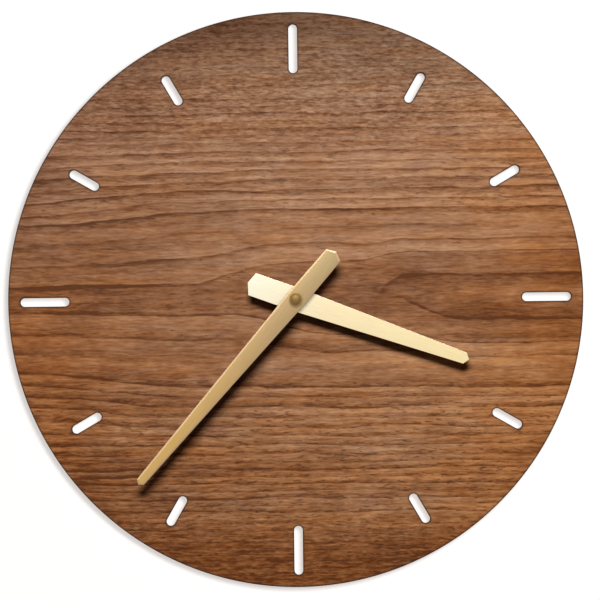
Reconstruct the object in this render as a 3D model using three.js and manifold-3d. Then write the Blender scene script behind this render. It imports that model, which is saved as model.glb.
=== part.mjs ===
// A round wooden wall clock: a walnut dial board whose hour marks are cut right through,
// two tapered metal hands, and a battery quartz movement behind the board.
// Sizes are millimetres. Pieces are drawn in plan, as the clock is seen from the front:
// x to the right, y up, z out from the wall. The group is then stood upright, so that the
// front faces -Y, up is +Z and the back of the movement lies on the wall plane, Y = 0.

import * as THREE from 'three';
import { mergeVertices } from 'three/addons/utils/BufferGeometryUtils.js';
import Module from 'manifold-3d';

// Dial board
const dialDiameter = 300;
const dialThickness = 5;
const slotWidth = 4.5;
const slotRimMargin = 6.3;
const longSlotLength = 25.6;
const shortSlotLength = 17.1;
const slotCount = 12;
const longSlotEvery = 3;

// Hands, and the time that they show; the hour hand is pressed on a little ahead of it
const shownHour = 3;
const shownMinute = 36.84;
const hourHandLead = THREE.MathUtils.degToRad(1.4);
const hoursPerTurn = 12;
const minutesPerHour = 60;
const handThickness = 1;
const handBevelWidth = 0.8;
const handBevelDepth = 0.3;
const hourHandLength = 95.5;
const hourHandTailLength = 26.5;
const hourHandWidth = 12.4;
const hourHandTailWidth = 12.2;
const hourHandTipWidth = 6.1;
const hourHandTipPointLength = 2.2;
const hourHandTailPointLength = 2.4;
const minuteHandLength = 126.5;
const minuteHandTailLength = 32.6;
const minuteHandWidth = 10.4;
const minuteHandTailWidth = 9.9;
const minuteHandTipWidth = 4.7;
const minuteHandTipPointLength = 1.7;
const minuteHandTailPointLength = 2.4;
const colletWall = 0.5;
const colletShoulder = 0.7;
const colletShoulderHeight = 0.5;
const colletLip = 0.2;
const handSpacing = 1.6;
const capRadius = 3.4;
const capSkirt = 1.2;
const capDome = 1.6;
const capThreadRadius = 1.4;
const capThreadLength = 1.8;

// Clearances
const seatGap = 0.2;
const runGap = 0.25;
const wheelGap = 0.5;
const layerGap = 0.7;
const rooting = 0.3;

// Nested arbors, bush and its fasteners
const secondArborRadius = 0.5;
const secondArborReach = 5;
const minuteArborWall = 0.95;
const hourPipeWall = 0.6;
const bushWall = 1;
const bushSpigotWall = 0.8;
const bushFlangeRadius = 7;
const bushFlangeThickness = 0.8;
const bushProud = 0.4;
const nutWall = 0.8;
const nutThickness = 2;
const washerThickness = 0.5;
const washerRadius = 5.5;
const rubberRadius = 12;
const rubberThickness = 1;

// Movement case and its battery cell
const cellDiameter = 14.5;
const cellLength = 50.3;
const cellNubRadius = 2.75;
const cellNubLength = 1;
const cellEdge = 0.6;
const cellClear = 0.25;
const cradleClear = 0.2;
const cellRecess = 0.8;
const bayWall = 0.9;
const bayFrontWall = 1;
const bayEndRoom = 1.45;
const caseWall = 1.4;
const caseFrontWall = 1.4;
const caseCorner = 3;
const coverThickness = 1.4;
const lipWall = 0.9;
const lipHeight = 1.6;
const catchLength = 5;
const catchReach = 0.9;
const catchHeight = 0.8;
const catchSpacing = 17.7;
const windowInset = 0.6;

// Gear train: tooth counts, distances between arbors, thicknesses
const cannonTeeth = 10;
const minuteWheelTeeth = 40;
const minutePinionTeeth = 12;
const hourWheelTeeth = 36;
const thirdPinionTeeth = 8;
const centreWheelTeeth = 64;
const secondPinionTeeth = 8;
const thirdWheelTeeth = 60;
const intermediatePinionTeeth = 10;
const secondWheelTeeth = 50;
const rotorPinionTeeth = 8;
const intermediateWheelTeeth = 48;
const thirdDistance = 11.2;
const rotorDistance = 8.75;
const rotorAngle = THREE.MathUtils.degToRad(25);
const toothAddendum = 0.8;
const toothDedendum = 1.2;
const toothTipShare = 0.1;
const toothRootShare = 0.25;
const wheelThickness = 0.8;
const hourWheelThickness = 1;
const pinionOverhang = 0.2;
const frontPlay = 0.4;
const wheelHubRadius = 2.7;
const pivotRadius = 0.5;
const settingHubRadius = 1.5;
const settingStemRadius = 0.9;
const settingPivotLength = 1;

// Posts, bridge and setting knob
const postRadius = 1.2;
const pinRadius = 0.7;
const pivotDepth = 1.5;
const bridgeThickness = 1.2;
const bridgeMargin = 2.4;
const bridgePostInset = 4.1;
const bridgeLowerPostDrop = 6.5;
const knobRadius = 5.6;
const knobThickness = 2;
const knobRecess = 0.6;
const knobFlutes = 20;
const knobFluteDepth = 0.35;

// Stepping motor
const magnetRadius = 2.5;
const magnetLength = 3;
const magnetStandoff = 1;
const rotorGap = 0.8;
const statorWall = 1;
const statorThickness = 1;
const statorHalfLength = 13.5;
const coreLegWidth = 3.2;
const coreHalfWidth = 0.9;
const bobbinTubeRadius = 1.6;
const bobbinFlangeRadius = 2.4;
const bobbinFlangeThickness = 0.8;
const windingRadius = 2.2;

// Circuit
const boardThickness = 1;
const boardHeight = 13.5;
const boardPostInset = 2.6;
const chipRadius = 3.2;
const chipHeight = 1.6;
const crystalRadius = 1;
const crystalLength = 6;
const contactThickness = 0.3;
const contactWidth = 5;
const contactBow = 12;
const contactNotch = 1.3;

// Hanger
const hangerThickness = 0.8;
const hangerWidth = 14;
const hangerTail = 9;
const hangerBend = 1.6;
const hangerRise = 16;
const hangerBackGap = 0.6;
const nailHoleRadius = 4;
const nailNotchRadius = 2.2;
const nailNotchRise = 5.5;

// Facets of the round forms
const dialSides = 128;
const cradleSides = 40;
const ringSides = 24;
const turnedSides = 20;
const holeSides = 16;
const stemSides = 12;
const pivotSides = 10;
const pinSides = 8;
const nutSides = 6;
const arcSteps = 3;
const bowSteps = 10;
const domeSteps = 5;
const chipSteps = 3;
const weldDistance = 1e-5;

// Finishes
const walnut = { color: 0x8f6244, roughness: 0.55, metalness: 0 };
const paleGold = { color: 0xe8cf95, roughness: 0.32, metalness: 1 };
const deepGold = { color: 0xc4a066, roughness: 0.4, metalness: 1 };
const brass = { color: 0xb58f4a, roughness: 0.35, metalness: 1 };
const darkBrass = { color: 0x9c7a3c, roughness: 0.3, metalness: 1 };
const blackRubber = { color: 0x1c1c1c, roughness: 0.9, metalness: 0 };
const zincSteel = { color: 0xb4b4b0, roughness: 0.4, metalness: 1 };
const blackPlastic = { color: 0x1b1b1d, roughness: 0.5, metalness: 0 };
const palePlastic = { color: 0xe6e2d6, roughness: 0.5, metalness: 0 };
const magnetGrey = { color: 0x55565a, roughness: 0.4, metalness: 0.6 };
const motorSteel = { color: 0x8f9296, roughness: 0.4, metalness: 1 };
const copperWire = { color: 0xb0602f, roughness: 0.4, metalness: 0.8 };
const greenBoard = { color: 0x2f5b3a, roughness: 0.5, metalness: 0 };
const blackResin = { color: 0x151515, roughness: 0.35, metalness: 0 };
const nickel = { color: 0xc9c9c4, roughness: 0.3, metalness: 1 };
const cellJacket = { color: 0x6f7378, roughness: 0.35, metalness: 0.6 };

// Solids are cut and joined as closed meshes
const wasm = await Module();
wasm.setup();

function toSolid(geometry) {
  const bare = geometry.clone();
  bare.deleteAttribute('normal');
  bare.deleteAttribute('uv');
  const merged = mergeVertices(bare, weldDistance);
  const triangles = [];
  for (let i = 0; i < merged.index.count; i += 3) {
    const corners = [merged.index.getX(i), merged.index.getX(i + 1), merged.index.getX(i + 2)];
    if (new Set(corners).size === 3) triangles.push(...corners);
  }
  return new wasm.Manifold(new wasm.Mesh({
    numProp: 3,
    vertProperties: new Float32Array(merged.attributes.position.array),
    triVerts: new Uint32Array(triangles),
  }));
}

function toGeometry(solid) {
  const mesh = solid.getMesh();
  const geometry = new THREE.BufferGeometry();
  geometry.setAttribute('position', new THREE.BufferAttribute(mesh.vertProperties, 3));
  geometry.setIndex(new THREE.BufferAttribute(mesh.triVerts, 1));
  return geometry;
}

function join(...geometries) {
  return toGeometry(geometries.map(toSolid).reduce((whole, next) => whole.add(next)));
}

function cut(geometry, ...tools) {
  return toGeometry(tools.map(toSolid).reduce((rest, tool) => rest.subtract(tool), toSolid(geometry)));
}

// Basic forms, each between two heights above the wall
function slab(shape, back, front) {
  const options = { depth: front - back, bevelEnabled: false, curveSegments: arcSteps };
  return new THREE.ExtrudeGeometry(shape, options).translate(0, 0, back);
}

function disc(x, y, radius, back, front, sides = holeSides) {
  const cylinder = new THREE.CylinderGeometry(radius, radius, front - back, sides);
  return cylinder.rotateX(Math.PI / 2).translate(x, y, (back + front) / 2);
}

function block(left, right, bottom, top, back, front) {
  const box = new THREE.BoxGeometry(right - left, top - bottom, front - back);
  return box.translate((left + right) / 2, (bottom + top) / 2, (back + front) / 2);
}

// A body of revolution about z; the profile runs anticlockwise in radius and height
function turned(profile, sides = turnedSides) {
  const points = profile.map(([radius, height]) => new THREE.Vector2(radius, height));
  return new THREE.LatheGeometry(points, sides).rotateX(Math.PI / 2);
}

function tube(inner, outer, back, front, sides = turnedSides) {
  return turned([[inner, back], [outer, back], [outer, front], [inner, front], [inner, back]], sides);
}

function roundedRectangle(halfWidth, halfHeight, radius) {
  const shape = new THREE.Shape();
  const corners = [[1, -1], [1, 1], [-1, 1], [-1, -1]];
  corners.forEach(([right, up], i) => {
    const start = (i - 1) * Math.PI / 2;
    const x = right * (halfWidth - radius);
    const y = up * (halfHeight - radius);
    shape.absarc(x, y, radius, start, start + Math.PI / 2, false);
  });
  return shape;
}

// The outline of a band stretched round equal circles, given in anticlockwise order
function bandShape(centres, radius) {
  const shape = new THREE.Shape();
  const outward = (from, to) => Math.atan2(to.y - from.y, to.x - from.x) - Math.PI / 2;
  centres.forEach((centre, i) => {
    const before = centres.at(i - 1);
    const after = centres[(i + 1) % centres.length];
    shape.absarc(centre.x, centre.y, radius, outward(before, centre), outward(centre, after), false);
  });
  return shape;
}

// A bent metal strip seen on its edge: a path thickened evenly to both sides
function ribbonShape(path, thickness, divisions) {
  const spine = path.getPoints(divisions);
  const left = [];
  const right = [];
  spine.forEach((point, i) => {
    const before = spine[Math.max(i - 1, 0)];
    const after = spine[Math.min(i + 1, spine.length - 1)];
    const along = after.clone().sub(before).normalize();
    const across = new THREE.Vector2(-along.y, along.x).multiplyScalar(thickness / 2);
    left.push(point.clone().add(across));
    right.unshift(point.clone().sub(across));
  });
  return new THREE.Shape([...left, ...right]);
}

// Gears: a pinion points a tooth at its wheel, and the wheel turns a gap to the pinion
const moduleOf = (distance, teeth, otherTeeth) => 2 * distance / (teeth + otherTeeth);
const tipRadius = (teeth, module) => (teeth / 2 + toothAddendum) * module;
const angleTo = (from, to) => Math.atan2(to.y - from.y, to.x - from.x);
const gapPhase = (from, to, teeth) => angleTo(from, to) + Math.PI / teeth;

function gear(teeth, module, phase, back, front) {
  const tip = tipRadius(teeth, module);
  const root = (teeth / 2 - toothDedendum) * module;
  const pitch = 2 * Math.PI / teeth;
  const corners = [
    [root, -toothRootShare],
    [tip, -toothTipShare],
    [tip, toothTipShare],
    [root, toothRootShare],
  ];
  const points = [];
  for (let tooth = 0; tooth < teeth; tooth += 1) {
    for (const [radius, share] of corners) {
      const angle = phase + (tooth + share) * pitch;
      points.push(new THREE.Vector2(radius * Math.cos(angle), radius * Math.sin(angle)));
    }
  }
  return slab(new THREE.Shape(points), back, front);
}

// Where the hour marks start on the board
const dialRadius = dialDiameter / 2;
const slotInnerRadius = dialRadius - slotRimMargin - longSlotLength;

// Radii of the nested arbors, from the innermost out
const minuteBoreRadius = secondArborRadius + runGap;
const minuteArborRadius = minuteBoreRadius + minuteArborWall;
const hourBoreRadius = minuteArborRadius + runGap;
const hourPipeRadius = hourBoreRadius + hourPipeWall;
const bushBoreRadius = hourPipeRadius + runGap;
const bushRadius = bushBoreRadius + bushWall;
const bushHoleRadius = bushRadius + seatGap;
const bushSpigotRadius = bushRadius + bushSpigotWall;
const hourColletBore = hourPipeRadius + seatGap;
const minuteColletBore = minuteArborRadius + seatGap;

// Modules, and where the arbors stand
const centreModule = moduleOf(thirdDistance, thirdPinionTeeth, centreWheelTeeth);
const thirdModule = moduleOf(thirdDistance, secondPinionTeeth, thirdWheelTeeth);
const centreWheelTip = tipRadius(centreWheelTeeth, centreModule);
const settingDistance = centreWheelTip + settingHubRadius + runGap;
const minuteModule = moduleOf(settingDistance, cannonTeeth, minuteWheelTeeth);
const hourModule = moduleOf(settingDistance, minutePinionTeeth, hourWheelTeeth);
const thirdWheelTip = tipRadius(thirdWheelTeeth, thirdModule);
const hourWheelTip = tipRadius(hourWheelTeeth, hourModule);
const minuteWheelTip = tipRadius(minuteWheelTeeth, minuteModule);
const gearReach = Math.max(centreWheelTip, thirdWheelTip, hourWheelTip, minuteWheelTip);
const intermediateDistance = gearReach + postRadius + wheelGap;
const secondModule = moduleOf(intermediateDistance, intermediatePinionTeeth, secondWheelTeeth);
const rotorModule = moduleOf(rotorDistance, rotorPinionTeeth, intermediateWheelTeeth);
const intermediateTip = tipRadius(intermediateWheelTeeth, rotorModule);
const centreAt = new THREE.Vector2(0, 0);
const thirdAt = new THREE.Vector2(thirdDistance, 0);
const settingAt = new THREE.Vector2(-settingDistance, 0);
const intermediateAt = new THREE.Vector2(0, intermediateDistance);
const rotorAt = new THREE.Vector2(rotorDistance, 0).rotateAround(centreAt, rotorAngle).add(intermediateAt);

// Case sizes follow from the cell below the wheels and the contacts at the cell's ends
const cellRadius = cellDiameter / 2;
const caseHalfWidth = cellLength / 2 + bayEndRoom + caseWall;
const caseHalfHeight = gearReach + wheelGap + bayWall + cellDiameter + 2 * cellClear + caseWall;
const caseDepth = cellRecess + cellDiameter + cradleClear + bayFrontWall;
const insideHalfWidth = caseHalfWidth - caseWall;
const insideHalfHeight = caseHalfHeight - caseWall;
const insideCorner = Math.max(caseCorner - caseWall, rooting);
const insideFront = caseDepth - caseFrontWall;
const contactInset = seatGap + contactThickness;
const cellAt = {
  x: insideHalfWidth - contactInset - seatGap - cellLength / 2,
  y: cellClear + cellRadius - insideHalfHeight,
  z: cellRecess + cellRadius,
};
const bayTop = cellAt.y + cellRadius + cellClear;
const caseBack = coverThickness + seatGap;

// Heights of the wheels, from the case front backwards
const hourWheelFront = insideFront - frontPlay;
const hourWheelBack = hourWheelFront - hourWheelThickness;
const minuteWheelFront = hourWheelBack - layerGap;
const minuteWheelBack = minuteWheelFront - wheelThickness;
const centreWheelFront = minuteWheelBack - layerGap;
const centreWheelBack = centreWheelFront - wheelThickness;
const thirdWheelFront = centreWheelBack - layerGap;
const thirdWheelBack = thirdWheelFront - wheelThickness;
const secondWheelFront = thirdWheelBack - layerGap;
const secondWheelBack = secondWheelFront - wheelThickness;
const intermediateWheelFront = secondWheelBack - layerGap;
const intermediateWheelBack = intermediateWheelFront - wheelThickness;
const bridgeFront = intermediateWheelBack - layerGap;
const bridgeBack = bridgeFront - bridgeThickness;

// Heights of the stack on the bush, from the case front to the cap nut
const bushFlangeBack = caseDepth + seatGap;
const hangerBack = bushFlangeBack + bushFlangeThickness + seatGap;
const rubberBack = hangerBack + hangerThickness + seatGap;
const dialBack = rubberBack + rubberThickness + seatGap;
const dialFront = dialBack + dialThickness;
const washerBack = dialFront + seatGap;
const nutBack = washerBack + washerThickness + seatGap;
const bushFront = nutBack + nutThickness + bushProud;
const hourColletBack = bushFront + runGap;
const hourHandBack = hourColletBack + colletShoulderHeight + seatGap;
const hourHandFront = hourHandBack + handThickness;
const minuteHandBack = hourHandFront + handSpacing;
const minuteHandFront = minuteHandBack + handThickness;
const capBack = minuteHandFront + colletLip + seatGap;
const threadFront = capBack + capThreadLength;

// Places of the motor, bridge posts and circuit board
const boreRadius = rotorGap + magnetRadius;
const statorRadius = boreRadius + statorWall;
const statorHalfWidth = rotorAt.y - intermediateAt.y - postRadius - runGap;
const statorPinOffset = statorHalfLength - coreLegWidth / 2;
const magnetBack = intermediateWheelFront + magnetStandoff;
const magnetFront = magnetBack + magnetLength;
const statorBack = (magnetBack + magnetFront - statorThickness) / 2;
const statorFront = statorBack + statorThickness;
const coreFront = statorBack - seatGap;
const coreBack = coreFront - statorThickness;
const coilAt = { y: rotorAt.y + statorRadius + runGap + bobbinFlangeRadius, z: (coreBack + coreFront) / 2 };
const bobbinHalfLength = statorHalfLength - coreLegWidth - seatGap;
const bridgePostX = insideHalfWidth - bridgePostInset;
const upperLeftPost = new THREE.Vector2(-intermediateTip - postRadius - wheelGap, rotorAt.y);
const bridgePosts = [
  new THREE.Vector2(-bridgePostX, -bridgeLowerPostDrop),
  new THREE.Vector2(bridgePostX, -bridgeLowerPostDrop),
  new THREE.Vector2(bridgePostX, rotorAt.y - statorHalfWidth - postRadius - wheelGap),
  upperLeftPost,
];
const statorPosts = [-1, 1].map((side) => new THREE.Vector2(rotorAt.x + side * statorPinOffset, rotorAt.y));
const boardLeft = contactInset + seatGap - insideHalfWidth;
const boardRight = upperLeftPost.x - postRadius - wheelGap;
const boardTop = insideHalfHeight - contactInset - seatGap;
const boardBottom = boardTop - boardHeight;
const boardBack = coreBack;
const boardFront = boardBack + boardThickness;
const boardPosts = [
  new THREE.Vector2(boardLeft + boardPostInset, boardBottom + boardPostInset),
  new THREE.Vector2(boardRight - boardPostInset, boardTop - boardPostInset),
];
const contactBack = coilAt.z - contactWidth / 2;
const contactFront = contactBack + contactWidth;
const knobFront = knobRecess + knobThickness;

const clock = new THREE.Group();
clock.rotation.x = Math.PI / 2;

function addPiece(name, geometry, finish, at = centreAt) {
  const mesh = new THREE.Mesh(geometry, new THREE.MeshStandardMaterial(finish));
  mesh.name = name;
  mesh.position.set(at.x, at.y, 0);
  clock.add(mesh);
  return mesh;
}

// Dial board: a disc with a stadium-shaped slot at every hour, longer at every third one
function slotCutter(index) {
  const length = index % longSlotEvery === 0 ? longSlotLength : shortSlotLength;
  const radius = slotWidth / 2;
  const outline = new THREE.Shape();
  outline.absarc(0, slotInnerRadius + length - radius, radius, 0, Math.PI, false);
  outline.absarc(0, slotInnerRadius + radius, radius, Math.PI, 2 * Math.PI, false);
  const cutter = slab(outline, dialBack - rooting, dialFront + rooting);
  return cutter.rotateZ(-index * 2 * Math.PI / slotCount);
}

const slotCutters = Array.from({ length: slotCount }, (_, index) => slotCutter(index));
const dialDisc = disc(0, 0, dialRadius, dialBack, dialFront, dialSides);
const dialHole = disc(0, 0, bushHoleRadius, dialBack - rooting, dialFront + rooting);
addPiece('dial_board', cut(dialDisc, dialHole, ...slotCutters), walnut);

// Hands: widest at the hub, tapered to the tip, almost parallel to the tail, pointed at both ends
function handBlank({ tip, tail, width, tailWidth, tipWidth, tipPoint, tailPoint }) {
  const side = [
    [0, -tail],
    [tailWidth / 2, tailPoint - tail],
    [width / 2, 0],
    [tipWidth / 2, tip - tipPoint],
    [0, tip],
  ];
  const otherSide = side.slice(1, -1).reverse().map(([x, y]) => [-x, y]);
  const outline = new THREE.Shape([...side, ...otherSide].map(([x, y]) => new THREE.Vector2(x, y)));
  return new THREE.ExtrudeGeometry(outline, {
    depth: handThickness - 2 * handBevelDepth,
    bevelThickness: handBevelDepth,
    bevelSize: handBevelWidth,
    bevelOffset: -handBevelWidth,
    bevelSegments: 1,
  }).translate(0, 0, handBevelDepth);
}

function handPlate(blank, holeRadius, back) {
  return cut(blank, disc(0, 0, holeRadius, -rooting, handThickness + rooting)).translate(0, 0, back);
}

// A tube with a shoulder behind the hand, its end turned over in front of it
function handCollet(bore, back, handBack) {
  const barrel = bore + colletWall;
  const front = handBack + handThickness + colletLip;
  return turned([
    [bore, back],
    [barrel + colletShoulder, back],
    [barrel + colletShoulder, handBack - seatGap],
    [barrel, handBack - seatGap],
    [barrel, front],
    [bore, front],
    [bore, back],
  ]);
}

const minuteTurn = -2 * Math.PI * shownMinute / minutesPerHour;
const shownHours = shownHour + shownMinute / minutesPerHour;
const hourTurn = -2 * Math.PI * shownHours / hoursPerTurn - hourHandLead;
const hourBlank = handBlank({
  tip: hourHandLength,
  tail: hourHandTailLength,
  width: hourHandWidth,
  tailWidth: hourHandTailWidth,
  tipWidth: hourHandTipWidth,
  tipPoint: hourHandTipPointLength,
  tailPoint: hourHandTailPointLength,
});
const minuteBlank = handBlank({
  tip: minuteHandLength,
  tail: minuteHandTailLength,
  width: minuteHandWidth,
  tailWidth: minuteHandTailWidth,
  tipWidth: minuteHandTipWidth,
  tipPoint: minuteHandTipPointLength,
  tailPoint: minuteHandTailPointLength,
});
const hourHandHole = hourColletBore + colletWall + seatGap;
const minuteHandHole = minuteColletBore + colletWall + seatGap;
const hourPlate = handPlate(hourBlank, hourHandHole, hourHandBack);
const hourHand = addPiece('hour_hand', hourPlate, paleGold);
hourHand.rotation.z = hourTurn;
const minutePlate = handPlate(minuteBlank, minuteHandHole, minuteHandBack);
const minuteHand = addPiece('minute_hand', minutePlate, deepGold);
minuteHand.rotation.z = minuteTurn;
addPiece('hour_hand_collet', handCollet(hourColletBore, hourColletBack, hourHandBack), brass);
const minuteColletBack = minuteHandBack - seatGap - colletShoulderHeight;
const minuteCollet = handCollet(minuteColletBore, minuteColletBack, minuteHandBack);
addPiece('minute_hand_collet', minuteCollet, brass);

// Cap nut: a domed blind nut that closes the end of the minute arbor
function capNut() {
  const bore = capThreadRadius + seatGap;
  const boreFront = threadFront + seatGap;
  const profile = [[0, boreFront], [bore, boreFront], [bore, capBack], [capRadius, capBack]];
  for (let step = 0; step <= domeSteps; step += 1) {
    const angle = step / domeSteps * Math.PI / 2;
    const radius = step === domeSteps ? 0 : capRadius * Math.cos(angle);
    profile.push([radius, capBack + capSkirt + capDome * Math.sin(angle)]);
  }
  return turned(profile);
}

addPiece('cap_nut', capNut(), darkBrass);

// Threaded bush: a spigot in the case front, a flange on it and the barrel through the board
const bushProfile = [
  [bushBoreRadius, insideFront],
  [bushSpigotRadius, insideFront],
  [bushSpigotRadius, bushFlangeBack],
  [bushFlangeRadius, bushFlangeBack],
  [bushFlangeRadius, bushFlangeBack + bushFlangeThickness],
  [bushRadius, bushFlangeBack + bushFlangeThickness],
  [bushRadius, bushFront],
  [bushBoreRadius, bushFront],
  [bushBoreRadius, insideFront],
];
addPiece('threaded_bush', turned(bushProfile), brass);
const rubberWasher = tube(bushHoleRadius, rubberRadius, rubberBack, rubberBack + rubberThickness);
addPiece('rubber_washer', rubberWasher, blackRubber);
const brassWasher = tube(bushHoleRadius, washerRadius, washerBack, washerBack + washerThickness);
addPiece('brass_washer', brassWasher, brass);
const nutCornerRadius = (bushHoleRadius + nutWall) / Math.cos(Math.PI / nutSides);
const nutBlank = disc(0, 0, nutCornerRadius, nutBack, nutBack + nutThickness, nutSides);
const nutHole = disc(0, 0, bushHoleRadius, nutBack - rooting, nutBack + nutThickness + rooting);
addPiece('hex_nut', cut(nutBlank, nutHole), brass);

// Hanger: a steel strip clamped on the bush, bent back over the case to the wall
function hanger() {
  const front = hangerBack + hangerThickness / 2;
  const back = hangerBackGap + hangerThickness / 2;
  const riser = caseHalfHeight + layerGap + hangerThickness / 2;
  const top = caseHalfHeight + hangerRise;
  const side = new THREE.Path();
  side.moveTo(-hangerTail, front);
  side.lineTo(riser - hangerBend, front);
  side.absarc(riser - hangerBend, front - hangerBend, hangerBend, Math.PI / 2, 0, true);
  side.absarc(riser + hangerBend, back + hangerBend, hangerBend, Math.PI, 1.5 * Math.PI, false);
  side.lineTo(top, back);
  const strip = slab(ribbonShape(side, hangerThickness, arcSteps), -hangerWidth / 2, hangerWidth / 2);
  const upright = new THREE.Matrix4().makeBasis(
    new THREE.Vector3(0, 1, 0), new THREE.Vector3(0, 0, 1), new THREE.Vector3(1, 0, 0),
  );
  const nailY = top - nailNotchRise - nailHoleRadius;
  return cut(
    strip.applyMatrix4(upright),
    disc(0, 0, bushHoleRadius, hangerBack - rooting, hangerBack + hangerThickness + rooting),
    disc(0, nailY, nailHoleRadius, hangerBackGap - rooting, hangerBackGap + hangerThickness + rooting),
    disc(0, nailY + nailHoleRadius, nailNotchRadius, hangerBackGap - rooting, back + hangerThickness),
  );
}

addPiece('hanger', hanger(), zincSteel);

// Case front: a tray with the battery bay below, and the posts that carry the works
function pinnedPost(at, shoulder, pinEnd) {
  return [
    disc(at.x, at.y, postRadius, shoulder, insideFront + rooting, pivotSides),
    disc(at.x, at.y, pinRadius, pinEnd, shoulder + rooting, pinSides),
  ];
}

function bearingPost(at, end) {
  return disc(at.x, at.y, postRadius, end, insideFront + rooting, pivotSides);
}

function bearingHole(at, end, radius) {
  return disc(at.x, at.y, radius + runGap, end - rooting, end + pivotDepth + runGap, pivotSides);
}

const thirdPinionFront = centreWheelFront + pinionOverhang;
const intermediatePinionFront = secondWheelFront + pinionOverhang;
const bearings = [
  { at: thirdAt, end: thirdPinionFront + runGap },
  { at: intermediateAt, end: intermediatePinionFront + runGap },
  { at: rotorAt, end: magnetFront + runGap },
];
const catchPlaces = [-1, 1].flatMap((side) => [
  { side, y: layerGap - catchSpacing / 2 },
  { side, y: layerGap + catchSpacing / 2 },
]);

function caseFrontShell() {
  const tray = cut(
    slab(roundedRectangle(caseHalfWidth, caseHalfHeight, caseCorner), caseBack, caseDepth),
    slab(roundedRectangle(insideHalfWidth, insideHalfHeight, insideCorner), 0, insideFront),
  );
  const bayWallBlock = block(
    -insideHalfWidth - rooting, insideHalfWidth + rooting, bayTop, bayTop + bayWall,
    caseBack, insideFront + rooting,
  );
  const fitted = join(
    tray,
    bayWallBlock,
    ...bearings.map(({ at, end }) => bearingPost(at, end)),
    ...bridgePosts.flatMap((at) => pinnedPost(at, bridgeFront + seatGap, bridgeBack)),
    ...statorPosts.flatMap((at) => pinnedPost(at, statorFront + seatGap, coreBack)),
    ...boardPosts.flatMap((at) => pinnedPost(at, boardFront + seatGap, boardBack)),
  );
  const cradle = new THREE.CylinderGeometry(
    cellRadius + cradleClear, cellRadius + cradleClear, 2 * insideHalfWidth - 2 * insideCorner, cradleSides,
  ).rotateZ(Math.PI / 2).translate(0, cellAt.y, cellAt.z);
  const contactNotches = [-1, 1].map((side) => {
    const outer = side * insideHalfWidth;
    const inner = side * (insideHalfWidth - contactNotch);
    return block(
      Math.min(outer, inner), Math.max(outer, inner), bayTop - rooting, bayTop + bayWall + rooting,
      contactBack - runGap, contactFront + runGap,
    );
  });
  const catchSlots = catchPlaces.map(({ side, y }) => {
    const middle = side * (caseHalfWidth - caseWall / 2);
    return block(
      middle - caseWall, middle + caseWall, y - catchLength / 2 - runGap, y + catchLength / 2 + runGap,
      coverThickness + lipHeight - catchHeight - runGap, coverThickness + lipHeight + runGap,
    );
  });
  return cut(
    fitted,
    cradle,
    ...contactNotches,
    ...catchSlots,
    ...bearings.map(({ at, end }) => bearingHole(at, end, pivotRadius)),
    disc(
      settingAt.x, settingAt.y, settingStemRadius + runGap,
      insideFront - rooting, insideFront + settingPivotLength, stemSides,
    ),
    disc(0, 0, bushSpigotRadius + seatGap, insideFront - rooting, caseDepth + rooting),
  );
}

addPiece('case_front', caseFrontShell(), blackPlastic);

// Case back: a snap-on cover with a lip inside the tray, open at the battery and at the knob
function caseBackCover() {
  const lipHalfWidth = insideHalfWidth - seatGap;
  const lipHalfHeight = insideHalfHeight - seatGap;
  const lipCorner = Math.max(insideCorner - seatGap, rooting);
  const lipTop = coverThickness + lipHeight;
  const lip = cut(
    slab(roundedRectangle(lipHalfWidth, lipHalfHeight, lipCorner), coverThickness - rooting, lipTop),
    slab(roundedRectangle(lipHalfWidth - lipWall, lipHalfHeight - lipWall, lipCorner), 0, caseDepth),
    block(-caseHalfWidth, caseHalfWidth, -caseHalfHeight, bayTop + bayWall + seatGap, 0, caseDepth),
  );
  const catches = catchPlaces.map(({ side, y }) => {
    const inner = side * (lipHalfWidth - rooting);
    const outer = side * (lipHalfWidth + catchReach);
    return block(
      Math.min(inner, outer), Math.max(inner, outer), y - catchLength / 2, y + catchLength / 2,
      lipTop - catchHeight, lipTop,
    );
  });
  return cut(
    join(
      slab(roundedRectangle(caseHalfWidth, caseHalfHeight, caseCorner), 0, coverThickness),
      lip,
      ...catches,
    ),
    block(
      windowInset - insideHalfWidth, insideHalfWidth - windowInset, cradleClear - insideHalfHeight,
      bayTop - seatGap, -rooting, caseDepth,
    ),
    disc(settingAt.x, settingAt.y, knobRadius + runGap, -rooting, caseDepth, cradleSides),
  );
}

addPiece('case_back', caseBackCover(), blackPlastic);

// Gear bridge: the plate on the four posts, with a hole for each rear pivot
function gearBridge() {
  const [lowerLeft, lowerRight, upperRight, upperLeft] = bridgePosts;
  const outline = bandShape([lowerLeft, lowerRight, upperRight, rotorAt, upperLeft], bridgeMargin);
  const through = (at, radius) => (
    disc(at.x, at.y, radius, bridgeBack - rooting, bridgeFront + rooting, pivotSides)
  );
  const pivots = [centreAt, thirdAt, intermediateAt, rotorAt];
  return cut(
    slab(outline, bridgeBack, bridgeFront),
    ...bridgePosts.map((at) => through(at, pinRadius + seatGap)),
    ...pivots.map((at) => through(at, pivotRadius + runGap)),
    through(settingAt, settingStemRadius + runGap),
  );
}

addPiece('gear_bridge', gearBridge(), palePlastic);

// Motion work: the pinion on the minute arbor turns the minute wheel, and its pinion the hour wheel
function hourWheel() {
  const pipe = tube(hourBoreRadius, hourPipeRadius, hourWheelBack, hourHandFront + colletLip);
  const wheel = gear(
    hourWheelTeeth, hourModule, gapPhase(centreAt, settingAt, hourWheelTeeth),
    hourWheelBack, hourWheelFront,
  );
  const boreRadius = hourPipeRadius - hourPipeWall / 2;
  const bore = disc(0, 0, boreRadius, hourWheelBack - rooting, hourWheelFront + rooting);
  return join(cut(wheel, bore), pipe);
}

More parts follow.
